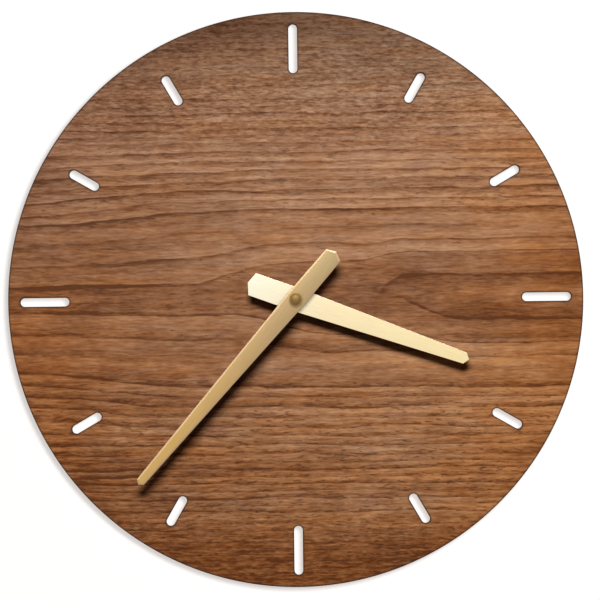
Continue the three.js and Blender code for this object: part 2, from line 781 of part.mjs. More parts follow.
function minuteArbor() {
  const back = centreWheelBack - layerGap / 2;
  const boreFront = caseDepth + secondArborReach + runGap;
  const body = turned([
    [0, boreFront],
    [minuteBoreRadius, boreFront],
    [minuteBoreRadius, back],
    [minuteArborRadius, back],
    [minuteArborRadius, capBack - seatGap],
    [capThreadRadius, capBack - seatGap],
    [capThreadRadius, threadFront],
    [0, threadFront],
  ]);
  const teeth = gear(
    cannonTeeth, minuteModule, angleTo(centreAt, settingAt),
    minuteWheelBack - pinionOverhang, minuteWheelFront + pinionOverhang,
  );
  const core = disc(0, 0, minuteArborRadius - minuteArborWall / 2, 0, caseDepth);
  return join(cut(teeth, core), body);
}

function minuteWheel() {
  const wheel = gear(
    minuteWheelTeeth, minuteModule, gapPhase(settingAt, centreAt, minuteWheelTeeth),
    minuteWheelBack, minuteWheelFront,
  );
  const pinion = gear(
    minutePinionTeeth, hourModule, angleTo(settingAt, centreAt),
    minuteWheelFront - rooting, hourWheelFront,
  );
  const hubBack = minuteWheelBack - pivotDepth - seatGap;
  const hub = disc(0, 0, settingHubRadius, hubBack, minuteWheelFront);
  const pivotFront = insideFront + settingPivotLength - runGap;
  const pivot = disc(0, 0, settingStemRadius, hourWheelFront - rooting, pivotFront, stemSides);
  const socket = disc(0, 0, settingStemRadius + seatGap, hubBack - rooting, minuteWheelBack);
  return cut(join(wheel, pinion, hub, pivot), socket);
}

addPiece('hour_wheel', hourWheel(), palePlastic);
addPiece('minute_arbor', minuteArbor(), brass);
addPiece('minute_wheel', minuteWheel(), palePlastic, settingAt);

// Setting knob: a fluted disc in the back cover, on a stem that fits the minute wheel's hub
function settingKnob() {
  const rim = [];
  const steps = 2 * knobFlutes;
  for (let step = 0; step < steps; step += 1) {
    const angle = step / steps * 2 * Math.PI;
    const radius = step % 2 === 0 ? knobRadius : knobRadius - knobFluteDepth;
    rim.push(new THREE.Vector2(radius * Math.cos(angle), radius * Math.sin(angle)));
  }
  const stem = disc(0, 0, settingStemRadius, knobFront - rooting, minuteWheelBack - seatGap);
  return join(slab(new THREE.Shape(rim), knobRecess, knobFront), stem);
}

addPiece('setting_knob', settingKnob(), palePlastic, settingAt);

// Going train: rotor, intermediate wheel, second wheel, third wheel, centre wheel
function centreWheel() {
  const wheel = gear(
    centreWheelTeeth, centreModule, gapPhase(centreAt, thirdAt, centreWheelTeeth),
    centreWheelBack, centreWheelFront,
  );
  const hub = disc(0, 0, wheelHubRadius, centreWheelBack, centreWheelFront + pinionOverhang);
  const boreFront = centreWheelFront + layerGap;
  const bore = disc(0, 0, minuteArborRadius + runGap, centreWheelBack - rooting, boreFront);
  return cut(join(wheel, hub), bore);
}

function thirdWheel() {
  const wheel = gear(
    thirdWheelTeeth, thirdModule, gapPhase(thirdAt, centreAt, thirdWheelTeeth),
    thirdWheelBack, thirdWheelFront,
  );
  const pinion = gear(
    thirdPinionTeeth, centreModule, angleTo(thirdAt, centreAt),
    thirdWheelFront - rooting, thirdPinionFront,
  );
  const arbor = disc(0, 0, pivotRadius, bridgeBack, thirdPinionFront + runGap + pivotDepth, pivotSides);
  return join(wheel, pinion, arbor);
}

function secondWheel() {
  const wheel = gear(
    secondWheelTeeth, secondModule, gapPhase(centreAt, intermediateAt, secondWheelTeeth),
    secondWheelBack, secondWheelFront,
  );
  const pinion = gear(
    secondPinionTeeth, thirdModule, angleTo(centreAt, thirdAt),
    secondWheelFront - rooting, thirdWheelFront + pinionOverhang,
  );
  const arbor = disc(0, 0, secondArborRadius, bridgeBack, caseDepth + secondArborReach, pivotSides);
  return join(wheel, pinion, arbor);
}

function intermediateWheel() {
  const wheel = gear(
    intermediateWheelTeeth, rotorModule, gapPhase(intermediateAt, rotorAt, intermediateWheelTeeth),
    intermediateWheelBack, intermediateWheelFront,
  );
  const pinion = gear(
    intermediatePinionTeeth, secondModule, angleTo(intermediateAt, centreAt),
    intermediateWheelFront - rooting, intermediatePinionFront,
  );
  const arborFront = intermediatePinionFront + runGap + pivotDepth;
  const arbor = disc(0, 0, pivotRadius, bridgeBack, arborFront, pivotSides);
  return join(wheel, pinion, arbor);
}

function rotorPinion() {
  const pinion = gear(
    rotorPinionTeeth, rotorModule, angleTo(rotorAt, intermediateAt),
    intermediateWheelBack - pinionOverhang, intermediateWheelFront + pinionOverhang,
  );
  const arbor = disc(0, 0, pivotRadius, bridgeBack, magnetFront + runGap + pivotDepth, pivotSides);
  return join(pinion, arbor);
}

addPiece('centre_wheel', centreWheel(), palePlastic);
addPiece('third_wheel', thirdWheel(), palePlastic, thirdAt);
addPiece('second_wheel', secondWheel(), palePlastic);
addPiece('intermediate_wheel', intermediateWheel(), palePlastic, intermediateAt);
addPiece('rotor_pinion', rotorPinion(), palePlastic, rotorAt);
const magnet = tube(pivotRadius + seatGap, magnetRadius, magnetBack, magnetFront);
addPiece('rotor_magnet', magnet, magnetGrey, rotorAt);

// Stepping motor: the stator plate round the rotor, the coil core across its ends, bobbin and winding
function pinHoles(back, front) {
  return statorPosts.map((at) => (
    disc(at.x, at.y, pinRadius + seatGap, back - rooting, front + rooting, pinSides)
  ));
}

function stator() {
  const left = rotorAt.x - statorHalfLength;
  const right = rotorAt.x + statorHalfLength;
  const bottom = rotorAt.y - statorHalfWidth;
  const top = rotorAt.y + statorHalfWidth;
  const bar = block(left, right, bottom, top, statorBack, statorFront);
  const ring = disc(rotorAt.x, rotorAt.y, statorRadius, statorBack, statorFront, ringSides);
  const bore = disc(
    rotorAt.x, rotorAt.y, boreRadius, statorBack - rooting, statorFront + rooting, ringSides,
  );
  return cut(join(bar, ring), bore, ...pinHoles(statorBack, statorFront));
}

function coilCore() {
  const bottom = rotorAt.y - statorHalfWidth;
  const top = coilAt.y + coreHalfWidth;
  const left = rotorAt.x - statorHalfLength;
  const right = rotorAt.x + statorHalfLength;
  return cut(
    block(left, right, bottom, top, coreBack, coreFront),
    block(
      left + coreLegWidth, right - coreLegWidth, bottom - rooting, coilAt.y - coreHalfWidth,
      coreBack - rooting, coreFront + rooting,
    ),
    ...pinHoles(coreBack, coreFront),
  );
}

const alongCoil = (geometry) => geometry.rotateY(Math.PI / 2).translate(rotorAt.x, coilAt.y, coilAt.z);

function coilBobbin() {
  const half = bobbinHalfLength;
  const neck = half - bobbinFlangeThickness;
  const spool = alongCoil(turned([
    [0, -half], [bobbinFlangeRadius, -half], [bobbinFlangeRadius, -neck], [bobbinTubeRadius, -neck],
    [bobbinTubeRadius, neck], [bobbinFlangeRadius, neck], [bobbinFlangeRadius, half], [0, half],
  ], ringSides));
  const slot = block(
    rotorAt.x - half - rooting, rotorAt.x + half + rooting,
    coilAt.y - coreHalfWidth - seatGap, coilAt.y + coreHalfWidth + seatGap,
    coreBack - seatGap, coreFront + seatGap,
  );
  return cut(spool, slot);
}

addPiece('stator', stator(), motorSteel);
addPiece('coil_core', coilCore(), motorSteel);
addPiece('coil_bobbin', coilBobbin(), palePlastic);
const windingHalf = bobbinHalfLength - bobbinFlangeThickness - seatGap;
const windingBore = bobbinTubeRadius + seatGap;
const winding = alongCoil(tube(windingBore, windingRadius, -windingHalf, windingHalf, ringSides));
addPiece('coil_winding', winding, copperWire);

// Circuit: board on two posts, the chip under its drop of resin, the crystal's can
const boardBlank = block(boardLeft, boardRight, boardBottom, boardTop, boardBack, boardFront);
const boardHoles = boardPosts.map((at) => (
  disc(at.x, at.y, pinRadius + seatGap, boardBack - rooting, boardFront + rooting, pinSides)
));
addPiece('circuit_board', cut(boardBlank, ...boardHoles), greenBoard);
const boardMiddle = new THREE.Vector2((boardLeft + boardRight) / 2, (boardBottom + boardTop) / 2);
const chipBase = boardBack - seatGap;
const chipProfile = [[0, chipBase - chipHeight]];
for (let step = 1; step <= chipSteps; step += 1) {
  const angle = step / chipSteps * Math.PI / 2;
  chipProfile.push([chipRadius * Math.sin(angle), chipBase - chipHeight * Math.cos(angle)]);
}
chipProfile.push([0, chipBase]);
addPiece('circuit_chip', turned(chipProfile), blackResin, boardMiddle);
const crystalCan = new THREE.CylinderGeometry(crystalRadius, crystalRadius, crystalLength, holeSides)
  .rotateZ(Math.PI / 2).translate(0, 0, chipBase - crystalRadius);
const crystalAt = new THREE.Vector2(boardMiddle.x, boardBottom + crystalRadius + seatGap);
addPiece('quartz_crystal', crystalCan, nickel, crystalAt);

// Battery contacts: bent strips from the circuit board round the case walls to the cell's ends
const stripX = insideHalfWidth - seatGap - contactThickness / 2;
const stripTop = insideHalfHeight - seatGap - contactThickness / 2;
const stripEnd = cellAt.y - contactBow / 2;

function positiveContact() {
  const path = new THREE.Path();
  path.moveTo(boardMiddle.x, stripTop);
  path.lineTo(stripX - insideCorner, stripTop);
  path.absarc(stripX - insideCorner, stripTop - insideCorner, insideCorner, Math.PI / 2, 0, true);
  path.lineTo(stripX, stripEnd);
  return slab(ribbonShape(path, contactThickness, arcSteps), contactBack, contactFront);
}

function negativeContact() {
  const apex = cellAt.x - cellLength / 2 - seatGap - contactThickness / 2;
  const path = new THREE.Path();
  path.moveTo(-stripX, boardTop - insideCorner);
  path.lineTo(-stripX, cellAt.y + contactBow / 2);
  path.quadraticCurveTo(2 * apex + stripX, cellAt.y, -stripX, stripEnd);
  return slab(ribbonShape(path, contactThickness, bowSteps), contactBack, contactFront);
}

addPiece('contact_positive', positiveContact(), nickel);
addPiece('contact_negative', negativeContact(), nickel);

// Battery cell: a rolled can with a raised nub at its positive end
const cellHalf = cellLength / 2;
const canEnd = cellHalf - cellNubLength;
const cellProfile = [
  [0, -cellHalf], [cellRadius - cellEdge, -cellHalf], [cellRadius, cellEdge - cellHalf],
  [cellRadius, canEnd - cellEdge], [cellRadius - cellEdge, canEnd], [cellNubRadius, canEnd],
  [cellNubRadius, cellHalf], [0, cellHalf],
];
const cell = turned(cellProfile, ringSides).rotateY(Math.PI / 2).translate(cellAt.x, cellAt.y, cellAt.z);
addPiece('battery_cell', cell, cellJacket);

export default clock;
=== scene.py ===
import math

import bmesh
import bpy
from mathutils import Matrix, Vector


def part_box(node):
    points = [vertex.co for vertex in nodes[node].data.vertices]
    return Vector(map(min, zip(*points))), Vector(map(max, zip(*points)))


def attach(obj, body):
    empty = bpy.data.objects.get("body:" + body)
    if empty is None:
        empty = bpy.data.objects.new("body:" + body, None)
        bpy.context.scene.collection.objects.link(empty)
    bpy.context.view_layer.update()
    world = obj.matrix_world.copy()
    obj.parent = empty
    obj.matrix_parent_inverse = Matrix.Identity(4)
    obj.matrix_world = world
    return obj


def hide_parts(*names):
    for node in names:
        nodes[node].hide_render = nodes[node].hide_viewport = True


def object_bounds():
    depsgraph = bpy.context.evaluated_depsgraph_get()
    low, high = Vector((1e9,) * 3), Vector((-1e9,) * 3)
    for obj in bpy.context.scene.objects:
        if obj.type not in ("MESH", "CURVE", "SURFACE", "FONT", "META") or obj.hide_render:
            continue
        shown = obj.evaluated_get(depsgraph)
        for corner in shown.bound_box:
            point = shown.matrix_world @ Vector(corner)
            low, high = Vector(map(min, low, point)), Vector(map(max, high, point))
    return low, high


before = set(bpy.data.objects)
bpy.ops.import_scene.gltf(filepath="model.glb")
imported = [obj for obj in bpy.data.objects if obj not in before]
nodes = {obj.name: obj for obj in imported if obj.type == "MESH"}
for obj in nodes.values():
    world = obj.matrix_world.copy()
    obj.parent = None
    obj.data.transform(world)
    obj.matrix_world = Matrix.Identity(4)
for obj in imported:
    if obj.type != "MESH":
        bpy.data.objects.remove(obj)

cad_low, cad_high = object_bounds()

# Camera: a long lens almost square to the dial, a little below the axis of the hands.
# The board spans 575 of the 600 pixels, and hangs turned by two thirds of a degree.
image_pixels = 600
board_radius_pixels = 287.6
board_centre_pixels = (295.75, 299.4)
camera_distance = 2.5
camera_elevation = math.radians(-0.4)
camera_roll = math.radians(-0.67)
board_low, board_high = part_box("dial_board")
board_radius = board_high.x
board_front, board_back = board_low.y, board_high.y
view_width = board_radius / board_radius_pixels * image_pixels


def in_scene(name, data):
    """A new object of the scene, at the origin."""
    made = bpy.data.objects.new(name, data)
    bpy.context.scene.collection.objects.link(made)
    return made


camera_data = bpy.data.cameras.new("front_view")
camera_data.lens = camera_data.sensor_width * camera_distance / view_width
camera_data.shift_x = (image_pixels / 2 - board_centre_pixels[0]) / image_pixels
camera_data.shift_y = (board_centre_pixels[1] - image_pixels / 2) / image_pixels
camera = in_scene("front_view", camera_data)
towards_camera = Vector((0.0, -math.cos(camera_elevation), math.sin(camera_elevation)))
dial_middle = Vector((0.0, board_front, 0.0))
camera.rotation_mode = "QUATERNION"
camera.rotation_quaternion = (
    towards_camera.to_track_quat("Z", "Y") @ Matrix.Rotation(camera_roll, 3, "Z").to_quaternion()
)
camera.location = dial_middle + towards_camera * camera_distance
bpy.context.scene.camera = camera

# Wall and studio light: a white wall just behind the movement with a small lamp of its own,
# one long soft key light above, a weak front light, and two lamps behind the wall for the rear.
MM = 0.001
wall_half = 3.0
wall_gap = 0.6 * MM
wall_glow = 0.62
room_strength = 0.015
bpy.context.scene.view_settings.view_transform = "Standard"


def soft_lamp(name, power, width, height, direction, distance):
    """An oblong area lamp that shines on the middle of the dial from a direction.
    Its power is in watts, and its sizes and distance are in metres."""
    lamp_data = bpy.data.lights.new(name, "AREA")
    lamp_data.energy = power
    lamp_data.shape = "RECTANGLE"
    lamp_data.size = width
    lamp_data.size_y = height
    lamp = in_scene(name, lamp_data)
    outward = Vector(direction).normalized()
    lamp.location = dial_middle + outward * distance
    lamp.rotation_mode = "QUATERNION"
    lamp.rotation_quaternion = outward.to_track_quat("Z", "Y")
    return lamp


def new_material(name):
    """A material with nodes, and its node tree."""
    material = bpy.data.materials.new(name)
    material.use_nodes = True
    return material, material.node_tree


def feed(tree, socket, value):
    """Links an input to another node's output, or sets it to a plain value."""
    if isinstance(value, bpy.types.NodeSocket):
        tree.links.new(value, socket)
    else:
        socket.default_value = value


def linked(tree, kind, group=None, **values):
    """A shader node, or a node group, with its named inputs fed."""
    node = tree.nodes.new(kind)
    if group is not None:
        node.node_tree = group
    for name, value in values.items():
        feed(tree, node.inputs[name], value)
    return node


def calculate(tree, operation, *terms):
    """One Math node on sockets and numbers."""
    node = tree.nodes.new("ShaderNodeMath")
    node.operation = operation
    for socket, term in zip(node.inputs, terms):
        feed(tree, socket, term)
    return node.outputs[0]


def either(tree, share, first, second):
    """One shader where a share is 0, and another where it is 1."""
    node = linked(tree, "ShaderNodeMixShader", Fac=share)
    tree.links.new(first.outputs[0], node.inputs[1])
    tree.links.new(second.outputs[0], node.inputs[2])
    return node


key_light = soft_lamp("key_light", 27.8, 0.85, 0.34, (-0.05, -0.731, 0.655), 1.4)
front_light = soft_lamp("front_light", 0.3, 1.6, 1.6, (0.35, -0.9, 0.2), 2.0)
wall_light = soft_lamp("wall_light", 48.5, 0.2, 0.2, (0.07, -1.0, 0.045), 2.0)
soft_lamp("rear_key", 13.0, 0.6, 0.6, (0.5, 0.8, 0.6), 1.4)
soft_lamp("rear_fill", 6.5, 1.2, 1.2, (-0.7, 0.7, 0.1), 1.6)

world = bpy.data.worlds.new("studio")
bpy.context.scene.world = world
world.use_nodes = True
tree = world.node_tree
tree.nodes.clear()
rays = tree.nodes.new("ShaderNodeLightPath").outputs
seen = calculate(tree, "MAXIMUM", rays["Is Camera Ray"], rays["Is Glossy Ray"])
seen = calculate(tree, "MAXIMUM", seen, rays["Is Transmission Ray"])
room = linked(tree, "ShaderNodeBackground", Color=(1.0, 0.97, 0.94, 1), Strength=room_strength)
white = linked(tree, "ShaderNodeBackground", Color=(1, 1, 1, 1), Strength=1.0)
sky = either(tree, seen, room, white)
linked(tree, "ShaderNodeOutputWorld", Surface=sky.outputs[0])

wall_mesh = bpy.data.meshes.new("wall")
wall_corners = [(-1, -1), (1, -1), (1, 1), (-1, 1)]
wall_mesh.from_pydata(
    [(x * wall_half, cad_high[1] + wall_gap, z * wall_half) for x, z in wall_corners],
    [], [(0, 1, 2, 3)],
)
wall = in_scene("wall", wall_mesh)
wall_paint, tree = new_material("wall_paint")
tree.nodes.clear()
rays = tree.nodes.new("ShaderNodeLightPath").outputs
seen = calculate(tree, "MAXIMUM", rays["Is Camera Ray"], rays["Is Glossy Ray"])
paint = linked(tree, "ShaderNodeBsdfDiffuse", Color=(0.92, 0.92, 0.92, 1))
glow = linked(tree, "ShaderNodeEmission", Color=(1.0, 0.97, 0.95, 1))
front_side = either(tree, calculate(tree, "MULTIPLY", seen, wall_glow), paint, glow)
facing = tree.nodes.new("ShaderNodeNewGeometry")
passed = calculate(tree, "MAXIMUM", facing.outputs["Backfacing"], rays["Is Shadow Ray"])
one_sided = either(tree, passed, front_side, tree.nodes.new("ShaderNodeBsdfTransparent"))
linked(tree, "ShaderNodeOutputMaterial", Surface=one_sided.outputs[0])
wall_mesh.materials.append(wall_paint)

for lamp, on_wall in ((key_light, "EXCLUDE"), (front_light, "EXCLUDE"), (wall_light, "INCLUDE")):
    lit = bpy.data.collections.new(lamp.name + "_wall")
    lit.objects.link(wall)
    lit.collection_objects[0].light_linking.link_state = on_wall
    lamp.light_linking.receiver_collection = lit

# Dial board: a 5 mm board with walnut veneer laid level, cut to a disc by laser.
# The hour marks are round-ended slots cut right through, and the cut edges are scorched brown.
slot_width = 4.5 * MM
slot_inner_radius = 118.1 * MM
long_slot_length = 25.6 * MM
short_slot_length = 17.1 * MM
slot_count = 12
board_chamfer = 0.2 * MM
scorch_reach = 0.8 * MM
scorch_at_corner = 0.85
bush_hole_radius = 4.0 * MM
rim_steps = 288
hole_steps = 48
slot_end_steps = 16


def ring_outline(radius, steps):
    """Points of a circle round the hand axis, as (x, z)."""
    angles = [2 * math.pi * step / steps for step in range(steps)]
    return [(radius * math.cos(angle), radius * math.sin(angle)) for angle in angles]


def slot_outline(hour, grow):
    """Points of one hour mark, widened all round by grow, as (x, z)."""
    length = long_slot_length if hour % 3 == 0 else short_slot_length
    half = slot_width / 2
    ends = ((slot_inner_radius + length - half, 0.0), (slot_inner_radius + half, math.pi))
    turn = -2 * math.pi * hour / slot_count
    points = []
    for centre, start in ends:
        for step in range(slot_end_steps + 1):
            angle = start + math.pi * step / slot_end_steps
            x = (half + grow) * math.cos(angle)
            z = centre + (half + grow) * math.sin(angle)
            points.append((
                x * math.cos(turn) - z * math.sin(turn),
                x * math.sin(turn) + z * math.cos(turn),
            ))
    return points


def new_piece(name, mesh, *materials):
    """An object for a mesh whose points are already in place, with its materials."""
    for material in materials:
        mesh.materials.append(material)
    return in_scene(name, mesh)


def walled(work, rows):
    """Faces from each ring of points to the next one."""
    for upper, lower in zip(rows, rows[1:]):
        for i in range(len(upper)):
            after = (i + 1) % len(upper)
            work.faces.new((upper[i], upper[after], lower[after], lower[i]))


def ring_edges(work, row):
    """The edges that join a ring of points."""
    return [work.edges.get(pair) for pair in zip(row, row[1:] + row[:1])]


def face_outwards(work):
    """Turns every face to the outside."""
    bmesh.ops.recalc_face_normals(work, faces=work.faces[:])


def as_mesh(name, work):
    """A mesh of what has been worked."""
    mesh = bpy.data.meshes.new(name)
    work.to_mesh(mesh)
    work.free()
    return mesh


def round_shading(mesh, degrees=32):
    """Smooth shading everywhere except over edges sharper than an angle."""
    mesh.shade_smooth()
    mesh.set_sharp_from_angle(angle=math.radians(degrees))
    return mesh


def board_mesh():
    """Front and back faces with a scorched margin, chamfered rim, slots and bush hole."""
    margin = board_chamfer + scorch_reach
    levels = [
        (margin, board_front, 0.0),
        (board_chamfer, board_front, scorch_at_corner),
        (0.0, board_front + board_chamfer, 1.0),
        (0.0, board_back - board_chamfer, 1.0),
        (board_chamfer, board_back, scorch_at_corner),
        (margin, board_back, 0.0),
    ]
    outlines = [
        lambda inset: ring_outline(board_radius - inset, rim_steps),
        lambda inset: ring_outline(bush_hole_radius + inset, hole_steps),
        *(lambda inset, hour=hour: slot_outline(hour, inset) for hour in range(slot_count)),
    ]
    work = bmesh.new()
    scorch = work.verts.layers.float.new("scorch")
    front_edges, back_edges = [], []
    for outline in outlines:
        rows = []
        for inset, depth, burn in levels:
            row = [work.verts.new((x, depth, z)) for x, z in outline(inset)]
            for vertex in row:
                vertex[scorch] = burn
            rows.append(row)
        walled(work, rows)
        front_edges += ring_edges(work, rows[0])
        back_edges += ring_edges(work, rows[-1])
    for edges in (front_edges, back_edges):
        bmesh.ops.triangle_fill(work, edges=edges, use_beauty=True)
    face_outwards(work)
    nearly_flat = board_chamfer / 4
    for face in work.faces:
        depth = face.calc_center_median().y
        in_front, behind = depth < board_front + nearly_flat, depth > board_back - nearly_flat
        face.material_index = 0 if in_front else 2 if behind else 1
    return round_shading(as_mesh("walnut_board", work))


def surfaced(tree, colour, roughness, relief, strength, depth):
    """Feeds a material's colour, roughness and fine relief, whose depth is in millimetres."""
    shader = tree.nodes["Principled BSDF"]
    bump = linked(tree, "ShaderNodeBump", Height=relief, Strength=strength, Distance=depth * MM)
    tree.links.new(colour, shader.inputs["Base Color"])
    tree.links.new(roughness, shader.inputs["Roughness"])
    tree.links.new(bump.outputs["Normal"], shader.inputs["Normal"])
    return shader


def plus(tree, first, second):
    """The sum of two numbers."""
    return calculate(tree, "ADD", first, second)


def times(tree, *terms):
    """The product of two numbers, to which a third is added where there is one."""
    return calculate(tree, "MULTIPLY_ADD" if len(terms) == 3 else "MULTIPLY", *terms)


def scaled(tree, vector, factor):
    """A place or a colour times a number."""
    node = tree.nodes.new("ShaderNodeVectorMath")
    node.operation = "SCALE"
    feed(tree, node.inputs["Vector"], vector)
    feed(tree, node.inputs["Scale"], factor)
    return node.outputs[0]


def on_the_piece(tree):
    """The place of a point on its piece, in metres."""
    return tree.nodes.new("ShaderNodeTexCoord").outputs["Object"]


def in_millimetres(tree, place):
    """The three coordinates of a place, in millimetres."""
    return linked(tree, "ShaderNodeSeparateXYZ", Vector=scaled(tree, place, 1 / MM)).outputs


def smooth_range(tree, value, start, end, low=0.0, high=1.0, shape="SMOOTHSTEP"):
    """A step of a value between two bounds, soft unless another shape is asked for."""
    node = tree.nodes.new("ShaderNodeMapRange")
    node.interpolation_type = shape
    for socket, setting in zip(node.inputs, (value, start, end, low, high)):
        feed(tree, socket, setting)
    return node.outputs["Result"]


def streaks(tree, along, across, length, width, detail=2.0, offset=0.0):
    """Noise drawn out along the grain: length and width are a streak's size in millimetres."""
    place = linked(
        tree, "ShaderNodeCombineXYZ", X=calculate(tree, "DIVIDE", along, length),
        Y=calculate(tree, "DIVIDE", across, width), Z=offset,
    )
    cloud = linked(tree, "ShaderNodeTexNoise", Vector=place.outputs[0], Scale=1.0, Detail=detail)
    return cloud.outputs["Fac"]


def swing(tree, value, amount, onto):
    """Adds a noise, counted from its middle, times an amount."""
    return times(tree, calculate(tree, "SUBTRACT", value, 0.5), amount, onto)


def mixed(tree, blend, factor, first, second):
    """One colour Mix node."""
    node = tree.nodes.new("ShaderNodeMix")
    node.data_type = "RGBA"
    node.blend_type = blend
    for socket, value in zip((node.inputs[0], *node.inputs[6:8]), (factor, first, second)):
        feed(tree, socket, value)
    return node.outputs[2]


def ramp(tree, value, *stops):
    """A colour ramp with stops given as (position, red, green, blue)."""
    node = linked(tree, "ShaderNodeValToRGB", Fac=value)
    elements = node.color_ramp.elements
    while len(elements) < len(stops):
        elements.new(0.5)
    for element, (position, *colour) in zip(elements, stops):
        element.position = position
        element.color = (*colour, 1)
    return node.outputs["Color"]


def new_group(name, inputs, outputs):
    """An empty shader node group with named sockets, and its two end nodes."""
    group = bpy.data.node_groups.new(name, "ShaderNodeTree")
    for way, sockets in (("INPUT", inputs), ("OUTPUT", outputs)):
        for label, kind in sockets.items():
            group.interface.new_socket(label, in_out=way, socket_type="NodeSocket" + kind)
    return group, group.nodes.new("NodeGroupInput"), group.nodes.new("NodeGroupOutput")


# Growth rings: how far out from the heart line, in millimetres, and how many rings lie inside.
ring_marks = (
    (4.0, 0), (13.5, 1), (23.6, 1.66), (24.8, 2), (31.8, 3), (39.0, 4), (47.5, 5),
    (63.0, 8), (82.0, 12), (105.0, 18), (180.0, 41),
)
heart_spread = 540.0


def walnut_figure():
    """Growth rings across the sheet: level lines that open round a long cathedral on the right.
    Places are in millimetres from the middle of the dial."""
    outputs = dict.fromkeys(("Along", "Height", "Ring", "Heart"), "Float")
    group, start, end = new_group("walnut_figure", {"Vector": "Vector"}, outputs)
    along, _, height = in_millimetres(group, start.outputs["Vector"])
    from_middle = calculate(group, "ABSOLUTE", height)
    slant = smooth_range(group, height, -10.0, 10.0, -13.0, 13.0, "LINEAR")
    tip_bend = plus(
        group,
        smooth_range(group, height, -0.5, 2.5, -2.0, 12.0),
        smooth_range(group, height, -12.0, -0.5, -14.0, 0.0, "LINEAR"),
    )
    opening = plus(
        group,
        smooth_range(group, plus(group, along, slant), -44.0, 11.0, 0.0, 310.0),
        smooth_range(group, plus(group, along, tip_bend), 46.0, 71.0, 0.0, 205.0),
    )
    fan = times(
        group,
        smooth_range(group, along, -150.0, -40.0, 0.16, 0.0),
        smooth_range(group, from_middle, 40.0, 80.0, 1.0, 0.0),
    )
    level = calculate(group, "SUBTRACT", height, 0.5)
    level = times(group, level, fan, level)
    level = swing(group, streaks(group, along, height, 48.0, 12.0, 2.0, 3.1), 4.0, level)
    level = swing(group, streaks(group, along, height, 15.0, 5.0, 1.0, 7.7), 1.2, level)
    spread = calculate(group, "SUBTRACT", heart_spread, opening)
    spread = times(group, spread, smooth_range(group, from_middle, 18.0, 50.0, 1.0, 0.2))
    reach = calculate(group, "SQRT", times(group, level, level, spread))
    ring = None
    for (inner, first), (outer, last) in zip(ring_marks, ring_marks[1:]):
        grown = smooth_range(group, reach, inner, outer, 0.0, last - first, "LINEAR")
        ring = plus(group, ring, grown) if ring else grown
    heart = plus(
        group,
        smooth_range(group, reach, 21.0, 25.0, 0.75, 0.0),
        smooth_range(group, reach, 15.5, 19.0, 0.35, 0.0),
    )
    upper_right = times(group, height, 3.0, along)
    heart = times(group, heart, smooth_range(group, upper_right, 60.0, 140.0, 1.0, 0.55))
    for label, value in (("Along", along), ("Height", height), ("Ring", ring), ("Heart", heart)):
        group.links.new(value, end.inputs[label])
    return group


# Depths of the five innermost rings' late wood. Those outside them differ by chance.
inner_strengths = (0.85, 1.0, 0.75, 0.35, 1.05)

# Broad dark and pale streaks of the figure: middle along and across the sheet, half the length,
# half the width and depth of tone. Each one fades out over a further length at both ends.
broad_streaks = (
    (41.0, 86.0, 30.0, 13.0, -0.17),
    (-122.0, 24.0, 22.0, 13.0, -0.17),
    (-12.0, -24.0, 50.0, 12.0, -0.13),
    (-108.0, -63.0, 12.0, 22.0, 0.15),
    (-52.0, -87.0, 32.0, 13.0, -0.16),
    (-42.0, -117.0, 32.0, 14.0, 0.14),
    (-95.0, 40.0, 20.0, 12.0, 0.09),
    (58.0, 39.0, 20.0, 11.0, -0.09),
    (112.0, -60.0, 14.0, 20.0, 0.09),
    (-112.0, -6.0, 18.0, 14.0, 0.08),
    (0.0, 70.0, 90.0, 9.0, 0.07),
    (0.0, 99.0, 70.0, 17.0, -0.1),
)
streak_fade = 35.0
scorched_colour = (0.035, 0.02, 0.013, 1)


